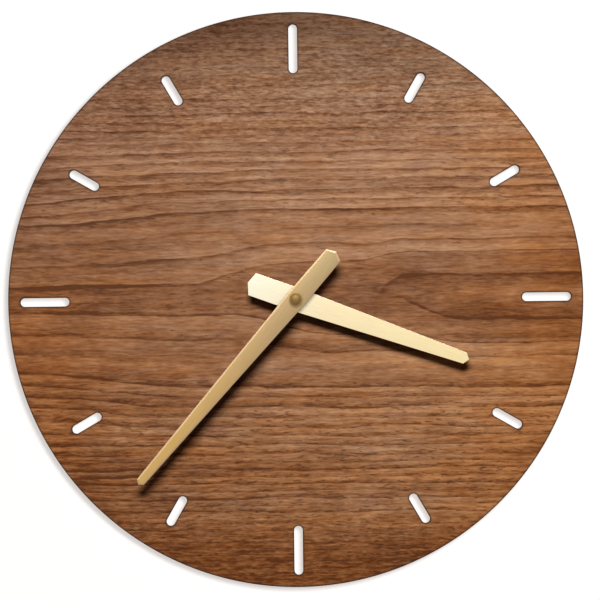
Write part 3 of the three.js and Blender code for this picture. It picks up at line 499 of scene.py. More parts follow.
def walnut_veneer(name, figure, shift, stops, pore_colour, gloss):
    """Oiled walnut: dark late wood at each ring, fine fibre, cross shimmer and short open pores.
    Places and sizes are in millimetres from the middle of the dial."""
    material, tree = new_material(name)
    moved = linked(tree, "ShaderNodeVectorMath", Vector=on_the_piece(tree))
    moved.operation = "ADD"
    moved.inputs[1].default_value = shift
    grown = linked(tree, "ShaderNodeGroup", figure, Vector=moved.outputs[0]).outputs
    along, height, ring = grown["Along"], grown["Height"], grown["Ring"]

    # The rings: late wood darkens outwards through each, and ends at a line.
    outer = smooth_range(tree, calculate(tree, "ABSOLUTE", height), 34.0, 58.0)
    ring = swing(tree, streaks(tree, along, height, 60.0, 3.0, 2.0, 1.3), 0.2, ring)
    age = calculate(tree, "FRACT", ring)
    count = calculate(tree, "FLOOR", ring)
    chance = tree.nodes.new("ShaderNodeTexWhiteNoise")
    chance.noise_dimensions = "1D"
    tree.links.new(count, chance.inputs["W"])
    strength = times(tree, chance.outputs["Value"], 0.6, 0.4)
    outside = calculate(tree, "GREATER_THAN", count, len(inner_strengths) - 0.5)
    strength = times(tree, strength, outside)
    for which, inner_strength in enumerate(inner_strengths):
        same = calculate(tree, "COMPARE", count, which, 0.5)
        strength = times(tree, same, inner_strength, strength)
    fade = swing(tree, streaks(tree, along, height, 45.0, 5.0, 2.0, 15.2), 1.6, 1.0)
    strength = times(tree, strength, calculate(tree, "MAXIMUM", fade, 0.35))
    arm_start = plus(tree, along, smooth_range(tree, height, 1.0, 4.0, -8.0, 0.0))
    arms = smooth_range(tree, arm_start, 36.0, 62.0, 0.2, 1.0)
    arms = calculate(tree, "MAXIMUM", arms, calculate(tree, "GREATER_THAN", ring, 1.0))
    strength = times(tree, strength, arms)
    strength = times(tree, strength, smooth_range(tree, age, 0.93, 1.0, 1.0, 0.0))
    late = times(tree, smooth_range(tree, age, 0.2, 0.9), strength)
    line = times(tree, smooth_range(tree, age, 0.72, 0.92), strength)

    # The tone: rings, heart, the sheet's broad changes, and noise from fibres to bands.
    wavy = swing(tree, streaks(tree, along, height, 17.0, 8.0, 2.0, 17.6), 2.2, height)
    fibre = streaks(tree, along, wavy, 17.0, 1.15, 3.0, 2.2)
    thread = streaks(tree, along, wavy, 5.0, 0.85, 2.0, 6.4)
    fleck = streaks(tree, along, wavy, 3.0, 0.9, 2.0, 23.5)
    strand = streaks(tree, along, wavy, 26.0, 2.6, 2.0, 19.1)
    band = streaks(tree, along, height, 190.0, 7.0, 3.0, 11.0)
    patch = streaks(tree, along, height, 90.0, 40.0, 2.0, 5.9)
    shimmer = streaks(tree, along, height, 9.0, 15.0, 2.0, 8.4)
    coarse = smooth_range(tree, height, -90.0, 90.0, 1.16, 0.82, "LINEAR")
    short_grain = plus(
        tree,
        smooth_range(tree, height, 60.0, 105.0, 0.0, 1.4),
        smooth_range(tree, height, -125.0, -95.0, 0.8, 0.0),
    )
    calm = times(tree, short_grain, -0.4, 1.0)
    foot = smooth_range(tree, height, -130.0, -105.0)
    late_depth = times(tree, times(tree, times(tree, outer, foot), -0.19, -0.18), calm)
    tone = times(tree, outer, 0.04, 0.7)
    tone = times(tree, late, late_depth, tone)
    tone = times(tree, line, times(tree, outer, 0.2, -0.3), tone)
    tone = times(tree, grown["Heart"], -0.32, tone)
    left = smooth_range(tree, along, -150.0, 50.0, -0.27, 0.01)
    tone = times(tree, left, smooth_range(tree, height, 10.0, 85.0, 1.0, 0.55), tone)
    tone = plus(tree, tone, smooth_range(tree, height, -150.0, -90.0, -0.44, 0.0))
    tone = plus(tree, tone, smooth_range(tree, along, 95.0, 150.0, 0.0, -0.07))
    for middle, level, length, width, depth in broad_streaks:
        beside = calculate(tree, "ABSOLUTE", calculate(tree, "SUBTRACT", along, middle))
        above = calculate(tree, "ABSOLUTE", calculate(tree, "SUBTRACT", height, level))
        faded = smooth_range(tree, beside, length, length + streak_fade, depth, 0.0)
        tone = times(tree, faded, smooth_range(tree, above, 0.0, width, 1.0, 0.0), tone)
    fibre_depth = times(tree, times(tree, outer, 0.4, 0.5), coarse)
    for noise, amount in (
        (fibre, times(tree, fibre_depth, calm)), (fleck, short_grain),
        (thread, times(tree, coarse, 0.8)),
        (strand, 0.45), (band, 0.6), (patch, 0.4), (shimmer, 0.3),
    ):
        tone = swing(tree, noise, amount, tone)
    colour = ramp(tree, tone, *stops)

    # The pores: short dark dashes, closer together in late wood.
    pores = streaks(tree, along, wavy, 4.2, 0.85, 2.0, 4.6)
    crowd = streaks(tree, along, height, 45.0, 16.0, 1.0, 9.2)
    outward = times(tree, outer, 0.08, -0.08)
    pore_level = swing(tree, crowd, 0.12, plus(tree, pores, outward))
    pore = smooth_range(tree, times(tree, late, 0.09, pore_level), 0.58, 0.72)
    pore_share = times(tree, times(tree, pore, coarse), 0.6)
    colour = mixed(tree, "MIX", pore_share, colour, (*pore_colour, 1))

    # The tint: from grey brown at the top to orange brown at the foot and the right.
    warmth = smooth_range(tree, height, -95.0, 80.0, 0.68, 0.2, "LINEAR")
    warmth = plus(tree, warmth, smooth_range(tree, height, -145.0, -105.0, 0.32, 0.0))
    warmth = plus(tree, warmth, smooth_range(tree, along, 55.0, 145.0, 0.0, 0.5))
    left_warmth = smooth_range(tree, along, -145.0, -65.0, 0.4, 0.0)
    left_share = smooth_range(tree, height, -20.0, 70.0, 1.0, -0.5)
    warmth = times(tree, left_warmth, left_share, warmth)
    warmth = swing(tree, streaks(tree, along, height, 60.0, 14.0, 2.0, 13.0), 1.0, warmth)
    warmth = swing(tree, streaks(tree, along, wavy, 22.0, 3.0, 2.0, 21.7), 0.9, warmth)
    tint = ramp(
        tree, warmth,
        (0.0, 0.955, 1.09, 1.27), (0.2, 0.97, 1.05, 1.15),
        (0.6, 1.0, 0.96, 0.86), (1.0, 1.04, 0.86, 0.58),
    )
    top = smooth_range(tree, height, 72.0, 150.0)
    upper_left = times(tree, along, -0.6, height)
    corner = smooth_range(tree, upper_left, 112.0, 172.0)
    top_edge = smooth_range(tree, height, 118.0, 148.0)
    top_edge = times(tree, top_edge, smooth_range(tree, along, 20.0, 80.0, 1.0, 0.3))
    for share, shade in (
        (1.0, tint), (top, (0.555, 0.575, 0.6, 1)),
        (corner, (0.8, 0.72, 0.68, 1)), (top_edge, (0.7, 0.65, 0.62, 1)),
    ):
        colour = mixed(tree, "MULTIPLY", share, colour, shade)
    scorch = tree.nodes.new("ShaderNodeAttribute")
    scorch.attribute_name = "scorch"
    colour = mixed(tree, "MIX", scorch.outputs["Fac"], colour, scorched_colour)
    relief = times(tree, pore, -1.0, times(tree, fibre, 0.5))
    rough = times(tree, pore, 0.2, gloss)
    shader = surfaced(tree, colour, rough, relief, strength=0.35, depth=0.06)
    shader.inputs["Specular IOR Level"].default_value = 0.03
    return material


layer_thickness = 1.65


def scorched_edge():
    """The laser's cut face: brown to black, with the board's thin layers and a fine ripple."""
    material, tree = new_material("scorched_edge")
    place = on_the_piece(tree)
    depth = in_millimetres(tree, place)["Y"]
    layers = calculate(tree, "SINE", times(tree, depth, 2 * math.pi / layer_thickness))
    noise = linked(tree, "ShaderNodeTexNoise", Vector=place, Scale=900.0, Detail=3.0)
    ripple = noise.outputs["Fac"]
    tone = swing(tree, ripple, 0.8, times(tree, layers, 0.12, 0.4))
    colour = ramp(
        tree, tone,
        (0.1, 0.012, 0.007, 0.005), (0.5, 0.045, 0.024, 0.014), (0.9, 0.11, 0.06, 0.032),
    )
    rough = times(tree, ripple, 0.3, 0.6)
    shader = surfaced(tree, colour, rough, ripple, strength=0.4, depth=0.08)
    shader.inputs["Specular IOR Level"].default_value = 0.2
    return material


figure = walnut_figure()
walnut_front = walnut_veneer(
    "walnut_front", figure, (0, 0, 0),
    (
        (0.05, 0.115, 0.041, 0.017), (0.32, 0.225, 0.091, 0.04), (0.55, 0.312, 0.141, 0.068),
        (0.78, 0.41, 0.2, 0.103), (1.0, 0.51, 0.27, 0.14),
    ),
    pore_colour=(0.085, 0.032, 0.014), gloss=0.5,
)
walnut_back = walnut_veneer(
    "walnut_back", figure, (0.21, 0, 0.085),
    (
        (0.05, 0.15, 0.072, 0.04), (0.32, 0.22, 0.115, 0.066), (0.55, 0.29, 0.16, 0.094),
        (0.78, 0.35, 0.2, 0.12), (1.0, 0.42, 0.25, 0.155),
    ),
    pore_colour=(0.12, 0.06, 0.034), gloss=0.62,
)
board = new_piece("walnut_board", board_mesh(), walnut_front, scorched_edge(), walnut_back)
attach(board, "clock_body")
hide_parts("dial_board")

# Hands: two tapers cut from 1 mm gold anodised sheet, brushed along their length.
# The front edge is eased all round, and each hand is riveted on a brass collet.
hour_edge = ((0.12, 0.0), (0.05, 0.03), (0.0, 0.12))
minute_edge = ((0.85, 0.0), (0.2, 0.2), (0.07, 0.27), (0.0, 0.38))
just_behind = 0.01
shown_minute = 36.84
shown_hour = 3
hour_lead = math.radians(1.4)
minute_angle = 2 * math.pi * shown_minute / 60
hour_angle = 2 * math.pi * (shown_hour + shown_minute / 60) / 12 + hour_lead
collet_hole_steps = 32
# Where the painted highlight's colours sit along each hand, in millimetres from the axis: tail,
# hub and tip.
painted_tail_at, painted_hub_at, painted_tip_at = -28.0, 16.0, 105.0
scratch_height = 0.0024


def inset_outline(points, distance):
    """A convex outline moved inwards by a distance, as (x, z)."""
    moved = []
    count = len(points)
    for i, point in enumerate(points):
        corner = Vector(point)
        before = (corner - Vector(points[i - 1])).normalized()
        after = (Vector(points[(i + 1) % count]) - corner).normalized()
        inward = Vector((-before.y, before.x)) + Vector((-after.y, after.x))
        moved.append(tuple(corner + inward * (distance / (1 + before.dot(after)))))
    return moved


def hand_mesh(
    name, node, edge, angle, tip, tail, width, tip_width, tail_width, tip_point, tail_point, hole,
):
    """A pointed blade, widest at the hub, whose front edge is eased by steps of (inset, drop).
    Sizes are in millimetres, and the angle is clockwise from twelve."""
    low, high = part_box(node)
    front, back = low.y / MM, high.y / MM
    right_side = [
        (tail_width / 2, tail_point - tail), (width / 2, 0), (tip_width / 2, tip - tip_point),
    ]
    left_side = [(-x, z) for x, z in reversed(right_side)]
    outline = [(0, -tail), *right_side, (0, tip), *left_side]
    levels = [(inset_outline(outline, inset), front + drop) for inset, drop in edge]
    levels.append((outline, back))
    work = bmesh.new()
    brush = work.loops.layers.uv.new("brush")
    rows = [[work.verts.new((x, depth, z)) for x, z in points] for points, depth in levels]
    ring = ring_outline(hole, collet_hole_steps)
    hole_rows = [[work.verts.new((x, depth, z)) for x, z in ring] for depth in (front, back)]
    walled(work, rows)
    walled(work, hole_rows)
    for end in (0, -1):
        edges = ring_edges(work, rows[end]) + ring_edges(work, hole_rows[end])
        bmesh.ops.triangle_fill(work, edges=edges, use_beauty=True)
    face_outwards(work)
    eased_depth = front + edge[-1][1]
    for face in work.faces:
        depth = face.calc_center_median().y
        face.material_index = 1 if front + just_behind < depth < eased_depth else 0
        for loop in face.loops:
            loop[brush].uv = (loop.vert.co.x, loop.vert.co.z)
    work.transform(Matrix.Rotation(angle, 4, "Y") @ Matrix.Scale(MM, 4))
    return as_mesh(name, work)


def new_skin(name, **places):
    """An empty group for a material's skin, which gives a colour, a roughness and a height."""
    return new_group(
        name,
        {**places, "Colour": "Color", "Contrast": "Float", "Roughness": "Float"},
        {"Colour": "Color", "Roughness": "Float", "Height": "Float"},
    )


def finished_skin(group, start, end, fine, patch, fine_share, dulling):
    """Feeds a skin's outputs: tint and roughness follow both noises, and height the fine one."""
    both = times(group, fine, fine_share, times(group, patch, 1 - fine_share))
    change = times(group, calculate(group, "SUBTRACT", both, 0.5), start.outputs["Contrast"])
    tint = scaled(group, start.outputs["Colour"], times(group, change, 2.0, 1.0))
    rough = times(group, change, dulling, start.outputs["Roughness"])
    for label, value in (("Colour", tint), ("Roughness", rough), ("Height", fine)):
        group.links.new(value, end.inputs[label])
    return group


def brushed_grain():
    """Fine parallel scratches, and longer patches of them."""
    group, start, end = new_skin("brushed_grain", Along="Float", Across="Float")
    along, across = start.outputs["Along"], start.outputs["Across"]
    fine = streaks(group, along, across, 9.0, 0.4, 3.0)
    patch = streaks(group, along, across, 24.0, 3.0, 2.0, 4.0)
    return finished_skin(group, start, end, fine, patch, fine_share=0.7, dulling=-1.0)


grain = brushed_grain()


def brushed_metal(name, colour, roughness, contrast, scratch_lines):
    """A metal whose fine scratches follow the coordinates that scratch_lines lays out."""
    material, tree = new_material(name)
    along, across = scratch_lines(tree)
    brush = linked(
        tree, "ShaderNodeGroup", grain, Along=along, Across=across,
        Colour=(*colour, 1), Contrast=contrast, Roughness=roughness,
    ).outputs
    shader = surfaced(
        tree, brush["Colour"], brush["Roughness"], brush["Height"], strength=0.12, depth=0.02,
    )
    shader.inputs["Metallic"].default_value = 1.0
    return material


def millimetres(tree):
    """The three coordinates of a point on a piece, in millimetres."""
    return in_millimetres(tree, on_the_piece(tree))


def down_the_hand(tree):
    """Scratches that run from the tail to the tip of a hand."""
    place = tree.nodes.new("ShaderNodeUVMap")
    place.uv_map = "brush"
    parts = linked(tree, "ShaderNodeSeparateXYZ", Vector=place.outputs["UV"]).outputs
    return parts["Y"], parts["X"]


def hand_gold(name, tail_colour, hub_colour, tip_colour, crown_curve):
    """Anodised gold, brushed lengthways over a slightly crowned face, its colour changing from
    tail to tip as painted highlight and shade.
    """
    material = brushed_metal(name, hub_colour, 0.48, 0.34, down_the_hand)
    tree = material.node_tree
    shader, brush, bump = (tree.nodes[kind] for kind in ("Principled BSDF", "Group", "Bump"))
    along, across = down_the_hand(tree)
    # Painted highlight and shade: the colour ramp from tail to tip stands in for the key light's
    # reflection changing along the hand.
    share = smooth_range(tree, along, painted_tail_at, painted_tip_at, shape="LINEAR")
    middle = (painted_hub_at - painted_tail_at) / (painted_tip_at - painted_tail_at)
    shade = ramp(tree, share, (0.0, *tail_colour), (middle, *hub_colour), (1.0, *tip_colour))
    tree.links.new(shade, brush.inputs["Colour"])
    crown = times(tree, times(tree, across, across), -crown_curve)
    relief = times(tree, brush.outputs["Height"], scratch_height, crown)
    tree.links.new(relief, bump.inputs["Height"])
    bump.inputs["Strength"].default_value = 1.0
    bump.inputs["Distance"].default_value = MM
    shader.inputs["Anisotropic"].default_value = 0.1
    spread = tree.nodes.new("ShaderNodeTangent")
    spread.direction_type = "UV_MAP"
    spread.uv_map = "brush"
    tree.links.new(spread.outputs[0], shader.inputs["Tangent"])
    return material


# The hour hand's gold is paler than the minute hand's, though both are cut from one sheet: painted
# highlight for the key light that its brushing catches.
hour_hand = new_piece(
    "hour_hand_blade",
    hand_mesh(
        "hour_hand_blade", "hour_hand", hour_edge, hour_angle, tip=95.5, tail=26.5, width=12.4,
        tip_width=6.1, tail_width=12.2, tip_point=2.2, tail_point=2.4, hole=3.45,
    ),
    hand_gold(
        "hour_hand_gold", tail_colour=(0.605, 0.575, 0.455), hub_colour=(0.602, 0.5, 0.318),
        tip_colour=(0.603, 0.49, 0.265), crown_curve=0.0018,
    ),
    brushed_metal("hour_hand_edge", (0.5, 0.42, 0.28), 0.45, 0.2, down_the_hand),
)
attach(hour_hand, "hour_work")
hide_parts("hour_hand")
# The minute hand's eased edge is paler than its blade: painted highlight along the edge.
minute_hand = new_piece(
    "minute_hand_blade",
    hand_mesh(
        "minute_hand_blade", "minute_hand", minute_edge, minute_angle, tip=126.5, tail=32.6,
        width=10.4, tip_width=4.7, tail_width=9.9, tip_point=1.7, tail_point=2.4, hole=2.6,
    ),
    hand_gold(
        "minute_hand_gold", tail_colour=(0.35, 0.256, 0.128), hub_colour=(0.35, 0.237, 0.115),
        tip_colour=(0.432, 0.268, 0.092), crown_curve=0.011,
    ),
    brushed_metal("minute_hand_edge", (0.4, 0.28, 0.155), 0.54, 0.2, down_the_hand),
)
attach(minute_hand, "minute_work")
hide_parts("minute_hand")

# Collets, arbor and cap nut: brass turned on a lathe, which leaves fine rings round the axis.
# Each hand's collet is pressed on its arbor, and the domed cap nut holds the minute hand.
lathe_steps = 48
out_from_wall = Matrix.Rotation(math.pi / 2, 4, "X") @ Matrix.Scale(MM, 4)


def eased(profile, cut, steps=3):
    """A closed profile with each corner rounded by up to a given cut."""
    most_of_side = 0.45
    rounded = []
    count = len(profile)
    for i, point in enumerate(profile):
        corner = Vector(point)
        to_before = Vector(profile[i - 1]) - corner
        to_after = Vector(profile[(i + 1) % count]) - corner
        first = corner + to_before.normalized() * min(cut, to_before.length * most_of_side)
        last = corner + to_after.normalized() * min(cut, to_after.length * most_of_side)
        for step in range(steps + 1):
            share = step / steps
            blend = first * (1 - share) ** 2 + corner * 2 * share * (1 - share) + last * share ** 2
            rounded.append(tuple(blend))
    return rounded


def turned(name, profile, place, *materials, closed=True):
    """A lathed piece: a profile of (radius, height) in millimetres spun round its axis.
    A profile that isn't closed starts and ends on the axis."""
    work = bmesh.new()
    rows = []
    for radius, height in profile:
        ring = ring_outline(radius, lathe_steps) if radius > 0 else [(0, 0)]
        rows.append([work.verts.new((x, y, height)) for x, y in ring])
    pairs = list(zip(rows, rows[1:]))
    if closed:
        pairs.append((rows[-1], rows[0]))
    for near, far in pairs:
        for i in range(lathe_steps):
            after = (i + 1) % lathe_steps
            corners = [row[at % len(row)] for row, at in (
                (near, i), (near, after), (far, after), (far, i),
            )]
            work.faces.new(list(dict.fromkeys(corners)))
    face_outwards(work)
    work.transform(place)
    return new_piece(name, round_shading(as_mesh(name, work)), *materials)


def from_hand_axis(tree):
    """The distance of a point from the axis of the hands, in millimetres."""
    x, _, z = millimetres(tree)
    return calculate(tree, "SQRT", times(tree, x, x, times(tree, z, z)))


def round_the_axis(tree):
    """Tool marks in rings round the axis of the hands."""
    x, y, z = millimetres(tree)
    return calculate(tree, "ARCTAN2", x, z), plus(tree, from_hand_axis(tree), y)


cap_middle_brass, cap_rim_painted_light = (0.2, 0.125, 0.042), (0.29, 0.185, 0.066)
turned_brass = brushed_metal("turned_brass", (0.5, 0.34, 0.13), 0.34, 0.35, round_the_axis)
dark_brass = brushed_metal("dark_brass", cap_middle_brass, 0.68, 0.45, round_the_axis)
# Painted light: the cap's colour grows paler from its crown out to its rim, evening out the shade
# on the dome's steep flank.
tree = dark_brass.node_tree
to_rim = smooth_range(tree, from_hand_axis(tree), 1.2, 3.2)
cap_painted_light = ramp(tree, to_rim, (0.0, *cap_middle_brass), (1.0, *cap_rim_painted_light))
tree.links.new(cap_painted_light, tree.nodes["Group"].inputs["Colour"])


def collet_profile(bore, barrel, shoulder, back):
    """A sleeve with a shoulder behind the hand and a rolled lip in front of it.
    Its back is that far from the wall, and the others are radii."""
    shoulder_height, barrel_height, lip = 0.5, 1.9, 0.2
    front = back + barrel_height
    return eased([
        (bore, back), (shoulder, back), (shoulder, back + shoulder_height),
        (barrel, back + shoulder_height), (barrel, front - lip / 2), (barrel - lip, front),
        (bore, front),
    ], 0.12)


for name, node, body, sizes in (
    ("hour_collet", "hour_hand_collet", "hour_work", (2.75, 3.25, 3.95, 28.45)),
    ("minute_collet", "minute_hand_collet", "minute_work", (1.9, 2.4, 3.1, 31.05)),
):
    collet = turned(name, collet_profile(*sizes), out_from_wall, turned_brass)
    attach(collet, body)
    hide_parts(node)

cap_back, cap_rim, cap_top = 33.15, 34.3, 35.95
cap_radius, dome_radius = 3.4, 2.75
cap_bore, cap_bore_end = 1.6, 35.15
cap_bevel = 0.15
rim_insets_and_drops = ((0.0, 0.25), (0.1, 0.07), (0.28, 0.0), (0.5, 0.0))
dome_sink = 0.08
dome_steps = 10
cap_profile = [
    (0, cap_bore_end), (cap_bore, cap_bore_end), (cap_bore, cap_back),
    (cap_radius - cap_bevel, cap_back), (cap_radius, cap_back + cap_bevel),
    *((cap_radius - inset, cap_rim - drop) for inset, drop in rim_insets_and_drops),
]
for step in range(dome_steps + 1):
    lean = math.pi / 2 * step / dome_steps
    cap_profile.append((
        dome_radius * math.cos(lean) if step < dome_steps else 0,
        cap_rim - dome_sink + (cap_top - cap_rim + dome_sink) * math.sin(lean),
    ))
cap = turned("domed_cap", cap_profile, out_from_wall, dark_brass, closed=False)
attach(cap, "minute_work")
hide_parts("cap_nut")


def dress(material, *solids):
    """Gives solids that stay in view their finish."""
    for solid in solids:
        for slot in nodes[solid].material_slots:
            slot.material = material


dress(turned_brass, "minute_arbor")

# Bush, washers and nut: a threaded brass bush on the movement passes through the board,
# with a rubber washer behind and a brass washer and a hexagon nut drawn up in front.
bush_bore, bush_radius, spigot_radius, flange_radius = 2.8, 3.8, 4.6, 7.0
bush_back, flange_back, flange_front, bush_front = 15.1, 16.7, 17.5, 28.2
bush_bevel = 0.3
thread_pitch = 0.75
thread_depth = 0.3
thread_start = 20.2
thread_end = bush_front - 0.2


def bush_profile():
    """The bush's spigot, flange and barrel, with its thread as a row of grooves."""
    points = [
        (bush_bore, bush_back), (spigot_radius, bush_back), (spigot_radius, flange_back),
        (flange_radius, flange_back), (flange_radius, flange_front), (bush_radius, flange_front),
    ]
    height = thread_start
    while height + thread_pitch < thread_end:
        points.append((bush_radius, height))
        points.append((bush_radius - thread_depth, height + thread_pitch / 2))
        height += thread_pitch
    return points + [
        (bush_radius, height), (bush_radius, bush_front - bush_bevel),
        (bush_radius - bush_bevel, bush_front), (bush_bore, bush_front),
    ]


def washer(name, hole, radius, back, front, ease, material):
    """A flat ring with eased edges."""
    profile = eased([(hole, back), (radius, back), (radius, front), (hole, front)], ease)
    return turned(name, profile, out_from_wall, material)


bush = turned("bush", bush_profile(), out_from_wall, turned_brass)
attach(bush, "clock_body")
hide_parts("threaded_bush")

front_washer = washer("front_washer", 4.0, 5.5, 25.1, 25.6, 0.12, turned_brass)
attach(front_washer, "clock_body")
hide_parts("brass_washer")


def moulded_skin():
    """The skin of a moulding: a fine mould texture, and slow patches of tint and gloss."""
    group, start, end = new_skin("moulded_skin", Vector="Vector", Grain="Float")
    place = start.outputs["Vector"]
    sized = scaled(group, place, calculate(group, "DIVIDE", 1 / MM, start.outputs["Grain"]))
    fine = linked(group, "ShaderNodeTexNoise", Vector=sized, Scale=1.0, Detail=3.0)
    patch = linked(group, "ShaderNodeTexNoise", Vector=place, Scale=130.0, Detail=2.0)
    return finished_skin(
        group, start, end, fine.outputs["Fac"], patch.outputs["Fac"], fine_share=0.4, dulling=1.0,
    )


skin = moulded_skin()


def moulding(name, colour, roughness, grain_size, contrast, relief):
    """A moulded plastic, rubber or resin with the shared skin. Its grain is in millimetres."""
    material, tree = new_material(name)
    face = linked(
        tree, "ShaderNodeGroup", skin, Vector=on_the_piece(tree), Grain=grain_size,
        Colour=(*colour, 1), Contrast=contrast, Roughness=roughness,
    ).outputs
    surfaced(tree, face["Colour"], face["Roughness"], face["Height"], relief, depth=0.05)
    return material


black_rubber = moulding("black_rubber", (0.014, 0.014, 0.014), 0.75, 0.25, 0.5, 0.5)
rear_washer = washer("rear_washer", 4.0, 12.0, 18.7, 19.7, 0.3, black_rubber)
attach(rear_washer, "clock_body")
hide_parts("rubber_washer")


def softened(name, node, width, material):
    """A copy of a solid with its sharp edges rounded, as a tool or a mould leaves them."""
    welded = 0.004 * MM
    flat, sharp = math.radians(0.5), math.radians(35)
    work = bmesh.new()
    work.from_mesh(nodes[node].data)
    bmesh.ops.remove_doubles(work, verts=work.verts[:], dist=welded)
    bmesh.ops.dissolve_limit(
        work, angle_limit=flat, verts=work.verts[:], edges=work.edges[:],
        use_dissolve_boundaries=False,
    )
    edges = [edge for edge in work.edges if edge.is_manifold and edge.calc_face_angle() > sharp]
    bmesh.ops.bevel(
        work, geom=edges, offset=width, segments=2, profile=0.5, affect="EDGES",
        clamp_overlap=True,
    )
    face_outwards(work)
    piece = new_piece(name, round_shading(as_mesh(name, work), degrees=28), material)
    piece.modifiers.new("even_faces", "WEIGHTED_NORMAL").keep_sharp = True
    return piece


nut = softened("front_nut", "hex_nut", 0.2 * MM, turned_brass)
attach(nut, "clock_body")
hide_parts("hex_nut")

# Hanger: a bent strip of zinc-plated steel clamped under the bush's flange.
# Its rear leaf has a round hole for the nail head, with a narrower notch above it.


def up_the_strip(tree):
    """Rolling marks that run up the strip."""
    x, y, z = millimetres(tree)
    return z, plus(tree, x, y)


zinc_plate = brushed_metal("zinc_plate", (0.5, 0.5, 0.49), 0.42, 0.4, up_the_strip)
hanger = softened("hanger_strip", "hanger", 0.16 * MM, zinc_plate)
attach(hanger, "clock_body")
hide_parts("hanger")

# Movement case: two black mouldings that snap together round the gear train,
# the rear cover with a bay for one cell and a hole for the setting knob.
black_moulding = moulding("black_moulding", (0.017, 0.017, 0.018), 0.52, 0.32, 0.5, 0.45)
for name, node, width in (("front_case", "case_front", 0.35), ("rear_cover", "case_back", 0.22)):
    shell = softened(name, node, width * MM, black_moulding)
    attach(shell, "clock_body")
    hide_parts(node)

# Motion work and setting knob: natural acetal mouldings that carry the hour hand and set the time.
# The knob's rim is fluted for the finger, and two raised arrows on its face show both turns.
arrow_radius = 3.3 * MM
arrow_width = 0.7 * MM
arrow_head = 1.7 * MM
arrow_sink = 0.15 * MM
arrow_rise = 0.2 * MM
arrow_sweep = math.radians(105)
arrow_steps = 14
natural_acetal = moulding("natural_acetal", (0.72, 0.68, 0.58), 0.42, 0.5, 0.12, 0.18)
knob = softened("set_knob", "setting_knob", 0.14 * MM, natural_acetal)
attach(knob, "setting_work")
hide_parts("setting_knob")


def knob_arrows():
    """Two bent arrows that stand out of the knob's rear face, one for each turn."""
    low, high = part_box("setting_knob")
    axis = (low + high) / 2
    work = bmesh.new()
    for middle, way in ((math.pi / 2, 1), (-math.pi / 2, -1)):
        start, end = middle - way * arrow_sweep / 2, middle + way * arrow_sweep / 2
        angles = [start + (end - start) * step / arrow_steps for step in range(arrow_steps + 1)]
        bent = [
            *((arrow_radius + arrow_width / 2, angle) for angle in angles),
            (arrow_radius + arrow_head / 2, end),
            (arrow_radius, end + way * arrow_head / arrow_radius),
            (arrow_radius - arrow_head / 2, end),
            *((arrow_radius - arrow_width / 2, angle) for angle in reversed(angles)),
        ]
        outline = [(axis.x + r * math.cos(a), axis.z + r * math.sin(a)) for r, a in bent]
        count = len(outline)
        depths = (high.y - arrow_sink, high.y + arrow_rise)
        rows = [[work.verts.new((x, depth, z)) for x, z in outline] for depth in depths]
        walled(work, rows)
        for row in rows:
            for i in range(arrow_steps):
                work.faces.new((row[i], row[i + 1], row[count - 2 - i], row[count - 1 - i]))
            work.faces.new(row[arrow_steps:arrow_steps + 5])
    face_outwards(work)
    return as_mesh("turn_arrows", work)


arrows = new_piece("turn_arrows", knob_arrows(), natural_acetal)
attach(arrows, "setting_work")
dress(natural_acetal, "hour_wheel", "minute_wheel")

# Going train: acetal wheels between the rotor and the centre arbor, held by a moulded bridge.
# The second and third wheels turn at the usual 1 and 8/60 turns a minute.
amber_acetal = moulding("amber_acetal", (0.66, 0.55, 0.36), 0.4, 0.4, 0.15, 0.18)
bridge_acetal = moulding("bridge_acetal", (0.7, 0.69, 0.66), 0.5, 0.5, 0.12, 0.25)
dress(
    amber_acetal,
    "centre_wheel", "third_wheel", "second_wheel", "intermediate_wheel", "rotor_pinion",
)
dress(bridge_acetal, "gear_bridge")

# Stepping motor: a sintered magnet turns in the hole of a soft iron stator,
# whose ends are bridged by a core with a coil of enamelled copper wire on an acetal bobbin.


def round_the_coil(tree):
    """Turns of wire that lie side by side along the coil."""
    x, y, z = millimetres(tree)
    return plus(tree, y, z), x


magnet = moulding("sintered_magnet", (0.09, 0.09, 0.1), 0.45, 0.12, 0.7, 0.3)
copper = brushed_metal("enamelled_copper", (0.5, 0.17, 0.06), 0.28, 0.7, round_the_coil)
dress(zinc_plate, "stator", "coil_core")
dress(magnet, "rotor_magnet")
dress(natural_acetal, "coil_bobbin")
dress(copper, "coil_winding")

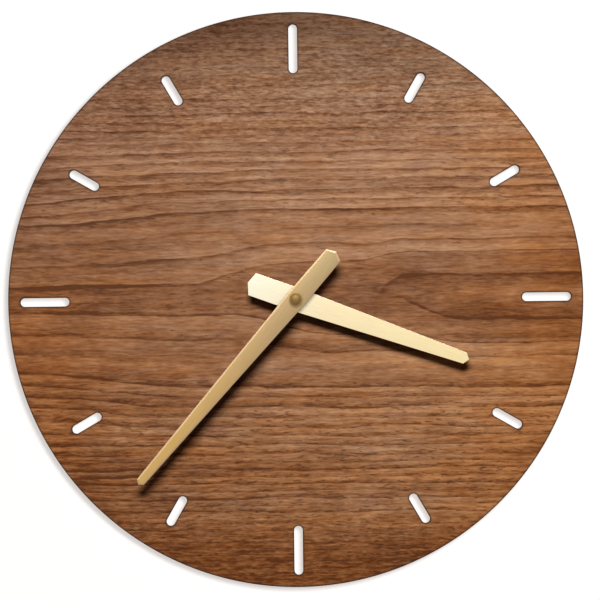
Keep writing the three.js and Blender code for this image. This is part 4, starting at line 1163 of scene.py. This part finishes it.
# Circuit: a small green board with the driver chip under a drop of resin, and the crystal's can.
# The crystal is a tuning fork in a drawn can of plated metal, soldered to the board's edge.
solder_mask = moulding("solder_mask", (0.03, 0.12, 0.05), 0.38, 1.6, 0.8, 0.25)
resin_drop = moulding("resin_drop", (0.01, 0.01, 0.01), 0.22, 0.8, 0.6, 0.12)
nickel = brushed_metal("nickel_plate", (0.6, 0.58, 0.54), 0.27, 0.3, up_the_strip)
dress(solder_mask, "circuit_board")
dress(resin_drop, "circuit_chip")
dress(nickel, "quartz_crystal")

# Contacts and cell: two nickel-plated spring strips and one plain cell in a sleeve of two colours.
# The sleeve is shrunk over both ends, and the steel shows inside its rim.
dress(nickel, "contact_positive", "contact_negative")
cell_low, cell_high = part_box("battery_cell")
cell_middle = (cell_low + cell_high) / 2
cell_radius, cell_body, nub_radius, cell_length = 7.25, 49.3, 2.75, 50.3
sleeve_rim = 5.0 * MM
two_colours_over = 20.0
dark_sleeve, pale_line, copper_sleeve = (0.05, 0.053, 0.06), (0.62, 0.6, 0.55), (0.42, 0.19, 0.08)
cell_profile = [
    (0, 0.12), (5.5, 0.12), (5.7, 0.0), (6.6, 0.0), (7.05, 0.2), (cell_radius, 0.65),
    (cell_radius, 48.6), (7.05, 49.1), (6.6, cell_body), (4.9, cell_body), (4.7, 49.1),
    (2.95, 49.1), (nub_radius, cell_body), (nub_radius, 50.0), (2.5, 50.25), (2.2, cell_length),
    (0, cell_length),
]
along_cell = (
    Matrix.Translation((cell_low.x, cell_middle.y, cell_middle.z))
    @ Matrix.Rotation(math.pi / 2, 4, "Y") @ Matrix.Scale(MM, 4)
)
sleeve = moulding("cell_sleeve", dark_sleeve, 0.3, 2.0, 0.25, 0.05)
tree = sleeve.node_tree
towards_nub = smooth_range(tree, millimetres(tree)[0], 0.0, two_colours_over, shape="LINEAR")
printed = ramp(
    tree, towards_nub,
    (0.49, *dark_sleeve), (0.5, *pale_line), (0.54, *pale_line), (0.55, *copper_sleeve),
)
tree.links.new(printed, tree.nodes["Group"].inputs["Colour"])
cell = turned("dry_cell", cell_profile, along_cell, sleeve, nickel, closed=False)
for face in cell.data.polygons:
    from_axis = Vector((face.center.y - cell_middle.y, face.center.z - cell_middle.z)).length
    face.material_index = 1 if from_axis < sleeve_rim else 0
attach(cell, "clock_body")
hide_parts("battery_cell")
